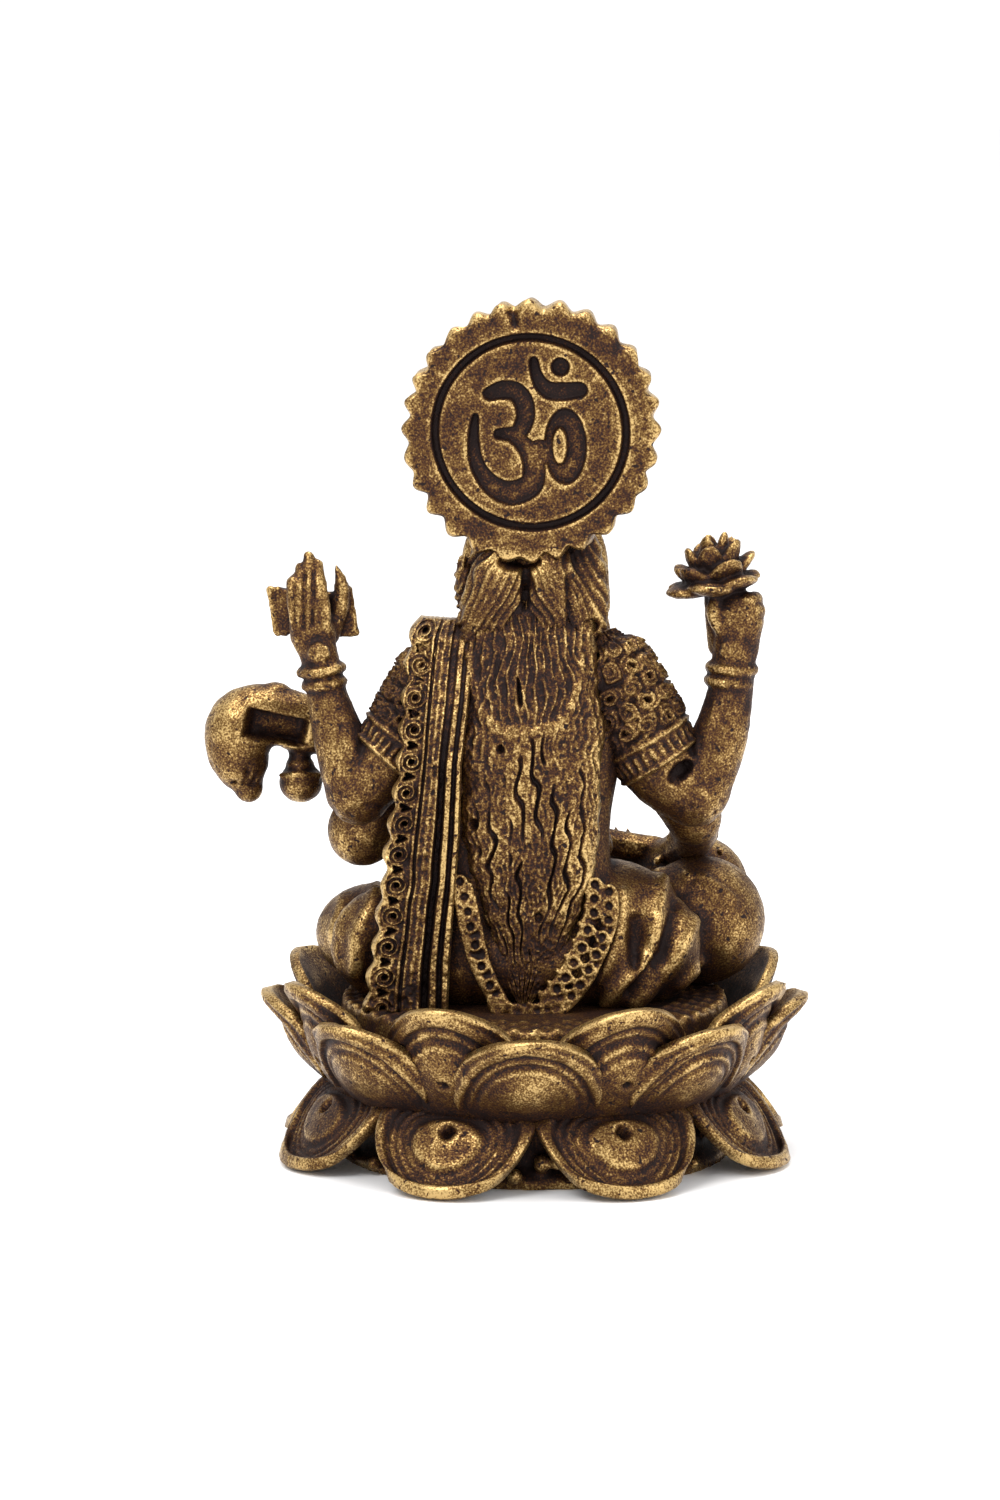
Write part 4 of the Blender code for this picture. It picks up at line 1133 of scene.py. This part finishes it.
# Rows of curls that turn left and right by turns; a runs round the sleeve and b down it
def scrollField(a, b, cell):
    row = np.round(b / cell)
    shift = 0.5 * cell * (row % 2)
    column = np.round((a - shift) / cell)
    da = a - shift - column * cell - 0.26 * np.sin(12.9 * row + 7.2 * column)
    db = b - row * cell - 0.26 * np.cos(8.1 * row + 4.7 * column)
    hand = (row + column) % 2 * 2 - 1
    r = np.hypot(da, db)
    spiral = np.cos(2 * math.pi * r / 0.52 - hand * np.arctan2(db, da) + 2.4 * row + 1.7 * column)
    r = r * (1 + 0.20 * np.cos(2 * np.arctan2(db, da) + 3.1 * row + 1.3 * column))
    curl = 0.34 * smoothStep(0.0, 0.9, spiral) * (1 - smoothStep(0.95, 1.15, r)) * smoothStep(0.16, 0.3, r)
    eye = (0.55 + 0.5 * hand) * (1 - smoothStep(0.18, 0.32, r))
    return curl - eye - 0.30 * smoothStep(0.52 * cell, 0.66 * cell, r)


def makeSleeve(name, path, radii):
    obj, u, v = carvedGrid(name, sleeves["around"], sleeves["along"])
    t = (v + 1) / 2
    steps = np.linspace(0, 1, len(path))
    curves = [np.polyfit(steps, [spot[axis] for spot in path], 2) for axis in range(3)]
    centre = np.stack([np.polyval(curve, t) for curve in curves], axis=1)
    ahead = np.stack([np.polyval(np.polyder(curve), t) for curve in curves], axis=1)
    length = np.linalg.norm(np.array(path[-1]) - np.array(path[0]))
    ahead /= np.linalg.norm(ahead, axis=1)[:, None]
    face = np.array([0, 1, 0]) - ahead * ahead[:, 1:2]
    face /= np.linalg.norm(face, axis=1)[:, None]
    side = np.cross(ahead, face)
    angle = math.pi * u
    radius = np.interp(t, np.linspace(0, 1, len(radii)), radii) * (0.45 + 0.55 * smoothStep(0.0, 0.16, t))
    worked = scrollField(4.2 * angle, t * length, sleeves["cell"]) * (1 - smoothStep(0.76, 0.79, t))
    ribs = 0.12 * np.cos(2 * math.pi * 4.2 * angle / 0.95) * smoothStep(0.84, 0.86, t)
    ribs *= 1 - smoothStep(0.94, 0.96, t)
    rims = 0.34 * (np.exp(-((t - 0.81) / 0.018) ** 2) + np.exp(-((t - 0.972) / 0.016) ** 2))
    relief = (worked + ribs) * (1 - smoothStep(0.88, 0.97, np.abs(u))) + rims
    outward = face * np.cos(angle)[:, None] + side * np.sin(angle)[:, None]
    rough = 0.10 * castNoise(centre * mm + outward * 4 * mm, 0.5, 3.0)
    rough += 0.16 * castNoise(centre * mm + outward * 4 * mm, 1.3, 5.0)
    spot = centre + outward * (radius + relief + rough - 0.5 * smoothStep(0.985, 1.0, t))[:, None]
    writePoints(obj.data, pointsAt(spot[:, 0], spot[:, 1], spot[:, 2]))
    bpy.ops.object.mode_set(mode="EDIT")
    bpy.ops.mesh.select_all(action="SELECT")
    bpy.ops.mesh.remove_doubles(threshold=0.00003)
    bpy.ops.mesh.fill_holes(sides=0)
    faceOutwards()
    bpy.ops.object.mode_set(mode="OBJECT")
    keep(obj)


# Raised arms with bracelets, and what the two hands hold

arms = {
    "cast": {"grain": 0.20, "smoothing": 2, "limit": 86000, "rough": 0.06},
    # bracelets: x, z, size and tilt
    "bracelets": ((21.45, 33.7, 2.3, 8), (-19.8, 33.9, 2.5, -4)),
    # rows of the held lotus: count of petals, reach, rise, start and width
    "flower": ((6, 5.0, 0.1, 8, 3.9), (5, 4.2, 2.4, 44, 2.9), (5, 2.8, 4.2, 10, 2.3), (3, 1.2, 5.1, 40, 1.8)),
}


def makeArms():
    limb([(9.0, 1.4, 33.0), (12.8, 2.0, 27.4), (16.6, 2.3, 22.7), (18.0, 2.4, 21.8)], (3.9, 3.6, 3.4, 3.2))
    ball((17.7, 2.4, 21.4), (3.2, 2.9, 3.4))
    limb([(18.0, 2.4, 21.5), (19.6, 2.3, 26.6), (21.1, 2.0, 32.2), (21.7, 2.0, 35.6)],
         (3.1, 2.65, 1.95, 1.9))
    limb([(-8.2, 1.4, 32.8), (-10.2, 1.7, 27.4), (-13.5, 2.0, 23.2), (-16.0, 2.2, 21.3)],
         (3.8, 4.0, 4.0, 3.5))
    ball((-16.4, 2.2, 21.5), (3.2, 3.0, 3.3))
    limb([(-16.6, 2.2, 21.7), (-18.7, 2.2, 27.3), (-19.7, 2.0, 31.8), (-20.1, 2.0, 35.6)],
         (3.2, 2.8, 2.25, 2.2))
    # bracelets: two cords each, with a rosette above
    for x, z, size, tilt in arms["bracelets"]:
        for drop in (0.0, 1.35):
            middle = Vector((x - 0.2 * drop * (1 if x > 0 else -1), 2.0, z - drop))
            braceletCord(middle, tilt, size - 0.28 - 0.12 * drop, 0.56)
        ball((x + 0.2, 3.9, z + 2.0), (0.55, 0.45, 0.55))
        for number in range(7):
            turn = 2 * math.pi * number / 7
            ball((x + 0.2 + 0.85 * math.sin(turn), 3.85, z + 2.0 + 0.75 * math.cos(turn)), (0.34, 0.34, 0.34))
    leftHand()
    rightHand()
    obj = fuse("raisedArms", **arms["cast"])
    for x, low, high in ((24.15, 38.4, 42.4), (23.2, 38.0, 43.4), (22.3, 38.4, 43.6)):
        crease(obj.data, [(x, low), (x - 0.1, high)], 0.17, -0.34)
    dent(obj.data, (-14.6, 6.0, 23.9), (1.5, 3, 0.85), (0, -1.7, 0), turn=-38, soft=0.35)


# The back of the left hand, fingers up, with a book held in the palm
def leftHand():
    limb([(21.7, 2.0, 35.0), (22.3, 1.9, 37.4), (22.9, 1.6, 40.2)], (1.9, 2.35, 1.9), flat=0.62)
    tips = ((24.3, 1.0, 42.6), (23.5, 1.0, 43.9), (22.7, 1.0, 45.0), (21.8, 1.0, 44.2))
    for number, tip in enumerate(tips):
        root = 24.0 - 0.93 * number
        knuckle = (0.5 * (root + tip[0]) + 0.1, 1.9, 42.4)
        limb([(root - 0.3, 2.5, 37.0), (root + 0.05, 2.45, 40.0), knuckle, tip], (0.6, 0.80, 0.76, 0.60))
    limb([(20.6, 0.9, 36.6), (19.7, 0.5, 39.6), (19.5, 0.2, 42.2), (19.95, 0.0, 43.9)],
         (0.8, 0.95, 0.75, 0.22))

    def page(u, v):
        up = (v + 1) / 2
        return at(22.4 + 0.35 * up + 3.95 * u, -0.2 - 0.5 * u * u, 37.0 + 4.5 * up + 0.3 * u)

    sheet(page, 10, 10, 1.5)
    for x, lean in ((26.3, 0.35), (25.5, 0.3), (19.0, 0.3), (18.4, 0.35)):
        limb([(x - lean, -0.3, 37.2), (x + lean, -0.1, 41.6)], (0.42, 0.42))


# The right fist with its lotus flower
def rightHand():
    ball((-20.3, 1.9, 38.7), (2.7, 2.3, 3.1), (0, 10, 0))
    limb([(-20.1, 2.0, 35.4), (-20.3, 2.0, 38.0)], (2.3, 2.5), flat=0.85)
    for number in range(4):
        z = 40.7 - 1.12 * number
        x = 0.3 * abs(number - 1.2)
        limb([(-20.4, 3.1, z), (x - 21.7, 2.9, z + 0.15), (x - 22.4, 1.2, z), (-21.4, -0.4, z - 0.3)],
             (0.55, 0.84, 0.9, 0.7))
    limb([(-18.7, 1.4, 36.2), (-18.4, 1.2, 39.4), (-18.3, 1.0, 42.6)], (1.35, 1.35, 1.3))
    limb([(-19.0, 3.0, 37.4), (-18.0, 3.1, 39.6), (-18.3, 2.2, 41.8)], (0.8, 0.85, 0.6))
    heart = Vector((-17.9, 1.0, 42.3))
    ball(tuple(heart), (2.3, 2.1, 1.2), (0, -12, 0))
    for count, reach, rise, start, width in arms["flower"]:
        for number in range(count):
            turn = 2 * math.pi * number / count + math.radians(start)
            out = Vector((math.sin(turn), math.cos(turn), 0))
            top = heart + out * reach + Vector((0, 0, rise - 0.20 * reach * out.x))
            base = heart + out * 0.12 * reach - Vector((0, 0, 0.5))
            face = (top - base).cross(out.cross(Vector((0, 0, 1)))).normalized()
            scoop(tuple(base), tuple(top), 1.22 * width, 1.35, tuple(face))


# Lute and the two hands that play it

lute = {
    "cast": {"grain": 0.23, "smoothing": 3, "limit": 70000, "rough": 0.04},
    "neck": [(-16.0, -12.8, 12.4), (-7, -12.8, 14.0), (6, -11.0, 18.9), (18, -8.0, 24.8)],
    "frets": 17, "headHoles": 8,
}


def makeLute():
    ball((-16.6, -12.4, 9.2), (5.6, 4.8, 5.4))
    neck = lute["neck"]
    limb(neck + [(24.5, -6.4, 27.0)], (1.5, 1.4, 1.5, 2.0, 2.7))
    limb([(21.0, -7.0, 26.0), (26.0, -6.0, 27.9), (29.6, -5.8, 27.1), (30.2, -5.8, 24.6), (29.7, -5.8, 22.2),
          (29.2, -5.8, 20.5)], (2.4, 3.0, 3.7, 3.4, 2.7, 1.5))
    ball((26.4, -6.0, 30.6), (1.5, 1.3, 0.8))
    ball((23.4, -6.4, 28.6), (1.2, 1.4, 1.0))
    limb([(24.4, -6.6, 26.2), (24.0, -7.2, 23.4)], (1.1, 1.1))
    ball((23.9, -7.2, 20.9), (2.25, 2.35, 2.1))
    ball((24.0, -7.2, 22.8), (1.5, 1.8, 0.8))
    limb([(21.9, -6.0, 21.8), (23.9, -5.0, 22.0), (25.9, -6.0, 21.8)], (0.35, 0.35, 0.35))
    for depth, rise in ((-1.35, 0.55), (-1.35, -0.25), (1.3, 0.5), (1.3, -0.5)):
        limb([(x, y + depth, z + rise) for x, y, z in neck], (0.25, 0.25, 0.25, 0.3))
    for number in range(lute["frets"]):
        spot = alongLine(neck, 0.22 + 0.72 * number / (lute["frets"] - 1))
        ball((spot[0], spot[1] - 1.35, spot[2] + 0.5), (0.28, 0.5, 1.35), (0, 20, 0))
    for number in range(7):
        turn = math.radians(-30 + 26 * number)
        ball((-16.6 + 5.2 * math.sin(turn), -8.6, 9.2 + 4.9 * math.cos(turn)), (0.5, 0.6, 0.5))
    limb([(-14.6, -8.3, 13.4), (-18.6, -7.9, 11.8), (-21.4, -8.4, 8.2)], (0.4, 0.42, 0.35))
    # playing arms
    limb([(9.6, 0.6, 32.4), (15.0, -1.6, 23.4), (17.0, -3.0, 17.2)], (3.4, 3.4, 3.5))
    ball((17.5, -3.2, 16.6), (3.6, 3.4, 3.7))
    limb([(17.0, -3.4, 16.8), (17.0, -8.0, 19.6), (14.6, -12.0, 22.6)], (2.9, 2.4, 1.8))
    limb([(-9.2, 0.6, 32.2), (-13.0, -1.0, 23.8), (-16.2, -2.8, 18.0)], (3.6, 3.3, 2.9))
    limb([(-16.2, -2.6, 18.2), (-16.3, -6.0, 15.6), (-14.0, -11.0, 12.8), (-10.8, -14.6, 11.5)],
         (2.7, 2.3, 1.8, 1.7))
    ball((-16.4, -5.6, 15.9), (2.6, 2.5, 0.7), (50, 0, 0))
    ball((-16.0, -6.9, 15.1), (2.5, 2.4, 0.6), (55, 0, 0))
    ball((-9.8, -14.8, 11.4), (2.4, 1.7, 1.5), (0, -10, 0))
    ball((13.6, -12.8, 23.6), (2.0, 1.9, 2.2), (0, -20, 0))
    ball((15.2, -11.0, 22.0), (2.1, 2.0, 0.6), (35, 25, 0))
    for number in range(4):
        limb([(-8.6, -15.6, 12.2 - 0.75 * number), (-6.4, -15.4, 12.6 - 0.8 * number),
              (-5.0, -14.2, 13.2 - 0.6 * number)], (0.55, 0.5, 0.38))
        limb([(12.6 + 0.75 * number, -14.0, 24.8), (12.0 + 0.8 * number, -13.4, 26.4),
              (12.0 + 0.8 * number, -11.4, 26.9)], (0.5, 0.48, 0.38))
    obj = fuse("lute", **lute["cast"])
    dent(obj.data, (26.3, -2.4, 27.0), (3.1, 3.2, 1.5), (0, -2.4, 0), boxy=True, turn=14, soft=0.22)
    rng = np.random.default_rng(8)
    for number in range(lute["headHoles"]):
        spot = (29.6 + rng.uniform(-1.3, 1.3), -3.4, 21.6 + rng.uniform(-0.9, 0.9))
        dent(obj.data, spot, (0.24, 2.0, 0.24), (0, -0.5, 0), soft=0.5)


# Head and crown. The face is plain, calm and even, and the photo does not show it.

head = {
    "cast": {"grain": 0.21, "smoothing": 2, "limit": 75000, "rough": 0.016},
    "crown": [(0, 65.2), (1.0, 64.6), (1.5, 63.4), (1.0, 62.4), (2.1, 61.2), (2.9, 58.6), (3.9, 56.2),
              (4.6, 55.6), (4.5, 53.4), (5.4, 52.6), (5.6, 50.4), (6.2, 49.8), (6.1, 48.4), (5.0, 47.6),
              (0, 47.6)],
    "crownMiddle": -0.8, "crownRibs": 12,
    # rows of beads: height, radius and count
    "beads": ((49.1, 6.15, 34), (55.9, 4.65, 24), (52.9, 5.4, 30)),
}


def makeHead():
    ball((0, -1.4, 45.0), (5.1, 5.4, 6.3))
    ball((0, -2.6, 42.3), (4.1, 4.0, 3.9))
    ball((0, -5.2, 39.7), (1.6, 1.3, 1.2))
    limb([(0, -6.45, 46.2), (0, -6.95, 44.9), (0, -7.35, 43.6)], (0.42, 0.5, 0.62))
    ball((0, -7.15, 43.3), (0.95, 0.6, 0.45))
    limb([(-1.25, -5.95, 41.75), (0, -6.65, 41.85), (1.25, -5.95, 41.75)], (0.22, 0.4, 0.22))
    limb([(-1.1, -5.9, 41.3), (0, -6.45, 41.05), (1.1, -5.9, 41.3)], (0.25, 0.46, 0.25))
    for side in (1, -1):
        ball((1.95 * side, -5.75, 45.35), (1.15, 0.75, 0.6), (0, 4 * side, 12 * side))
        limb([(0.8 * side, -6.45, 45.1), (1.95 * side, -6.6, 45.0), (3.0 * side, -5.75, 45.25)],
             (0.16, 0.2, 0.14))
        limb([(0.7 * side, -6.55, 46.5), (2.0 * side, -6.45, 47.1), (3.4 * side, -5.5, 46.6)],
             (0.2, 0.26, 0.16))
        ball((2.0 * side, -4.0, 42.9), (2.1, 2.0, 2.0))
        ball((5.4 * side, -1.4, 44.2), (0.7, 1.1, 1.9))
        ball((6.0 * side, -1.6, 41.3), (1.2, 1.2, 1.7))
        limb([(4.6 * side, -3.2, 48.2), (5.9 * side, -1.8, 46.0), (6.3 * side, 0.4, 43.0),
              (6.4 * side, 1.6, 40.0)], (1.1, 1.2, 1.2, 1.2))
        limb([(5.8 * side, -2.4, 40.6), (6.8 * side, -4.6, 37.0), (7.2 * side, -5.0, 33.4)], (0.9, 1.0, 0.6))
    ball((0, -6.95, 47.4), (0.4, 0.3, 0.4))
    middle, ribs = head["crownMiddle"], head["crownRibs"]
    turned(head["crown"], at(0, middle, 0), steps=48)
    ball((0, -5.5, 54.2), (2.4, 1.2, 4.4), (8, 0, 0))
    ringOn((0, -6.6, 53.2), (0, -1, 0.15), 1.0, 1.3)
    ball((0, -6.7, 53.2), (0.6, 0.5, 0.8))
    for side in (1, -1):
        ball((4.0 * side, -4.0, 52.4), (1.6, 1.2, 2.8), (6, 14 * side, 0))
        ringOn((4.3 * side, -4.9, 52.2), (0.35 * side, -1, 0.1), 0.75, 1.3)
    for z, radius, count in head["beads"]:
        for number in range(count):
            ball(around(radius, 2 * math.pi * number / count, z, middle), (0.48, 0.48, 0.48))
    for number in range(ribs):
        turn = 2 * math.pi * number / ribs
        limb([around(3.7, turn, 56.4, middle), around(2.0, turn, 61.0, middle)], (0.4, 0.3))
    ball((0.2, 2.2, 55), (4.4, 2.6, 7.5))
    fuse("headAndCrown", **head["cast"])


makeHead()
makeHalo()
makeHair()
makeCrownOfHair()
makeSash()
makeHem()
makeArms()
for name, path, radii in sleeves["made"]:
    makeSleeve(name, path, radii)
makeLute()
makeBody()
makeThrone()
markHollows()
finishPieces()


# Floor, lights and camera

studio = {
    "floor": (0.92, 0.92, 0.93), "floorSize": 6, "world": 1.10,
    # each light: its place, what it looks at, its size and its power
    "lights": {
        "key": ((0.30, 0.42, 0.55), (0, 0, 0.04), 0.35, 2.6),
        "fill": ((-0.45, 0.35, 0.25), (0, 0, 0.04), 0.5, 1.2),
        "top": ((0.0, -0.05, 0.65), (0, 0, 0.02), 0.5, 3.2),
    },
    "camera": (0.0035, 0.560, 0.123), "down": 8.3328, "lens": 134.4,
}


def makeStudio():
    bpy.ops.object.select_all(action="DESELECT")
    bpy.ops.mesh.primitive_plane_add(size=studio["floorSize"])
    floor = bpy.context.object
    floor.name = "floor"
    paper = bpy.data.materials.new("pale floor")
    paper.use_nodes = True
    shader = paper.node_tree.nodes["Principled BSDF"]
    shader.inputs["Base Color"].default_value = (*studio["floor"], 1)
    shader.inputs["Roughness"].default_value = 0.9
    floor.data.materials.append(paper)
    world = bpy.data.worlds.new("studio")
    world.use_nodes = True
    world.node_tree.nodes["Background"].inputs["Color"].default_value = (1, 1, 1, 1)
    world.node_tree.nodes["Background"].inputs["Strength"].default_value = studio["world"]
    bpy.context.scene.world = world
    for name, (place, aim, size, power) in studio["lights"].items():
        data = bpy.data.lights.new(name, "AREA")
        data.shape = "DISK"
        data.size = size
        data.energy = power
        lamp = bpy.data.objects.new(name, data)
        lamp.location = place
        lamp.rotation_euler = (Vector(aim) - Vector(place)).to_track_quat("-Z", "Y").to_euler()
        bpy.context.collection.objects.link(lamp)
    lens = bpy.data.cameras.new("photo view")
    lens.lens = studio["lens"]
    lens.clip_start = 0.01
    lens.clip_end = 20
    camera = bpy.data.objects.new("photo view", lens)
    camera.location = studio["camera"]
    camera.rotation_euler = (math.radians(90 - studio["down"]), 0, math.pi)
    bpy.context.collection.objects.link(camera)
    bpy.context.scene.camera = camera
    bpy.context.scene.view_settings.view_transform = "Standard"
    print("studio ready")


makeStudio()
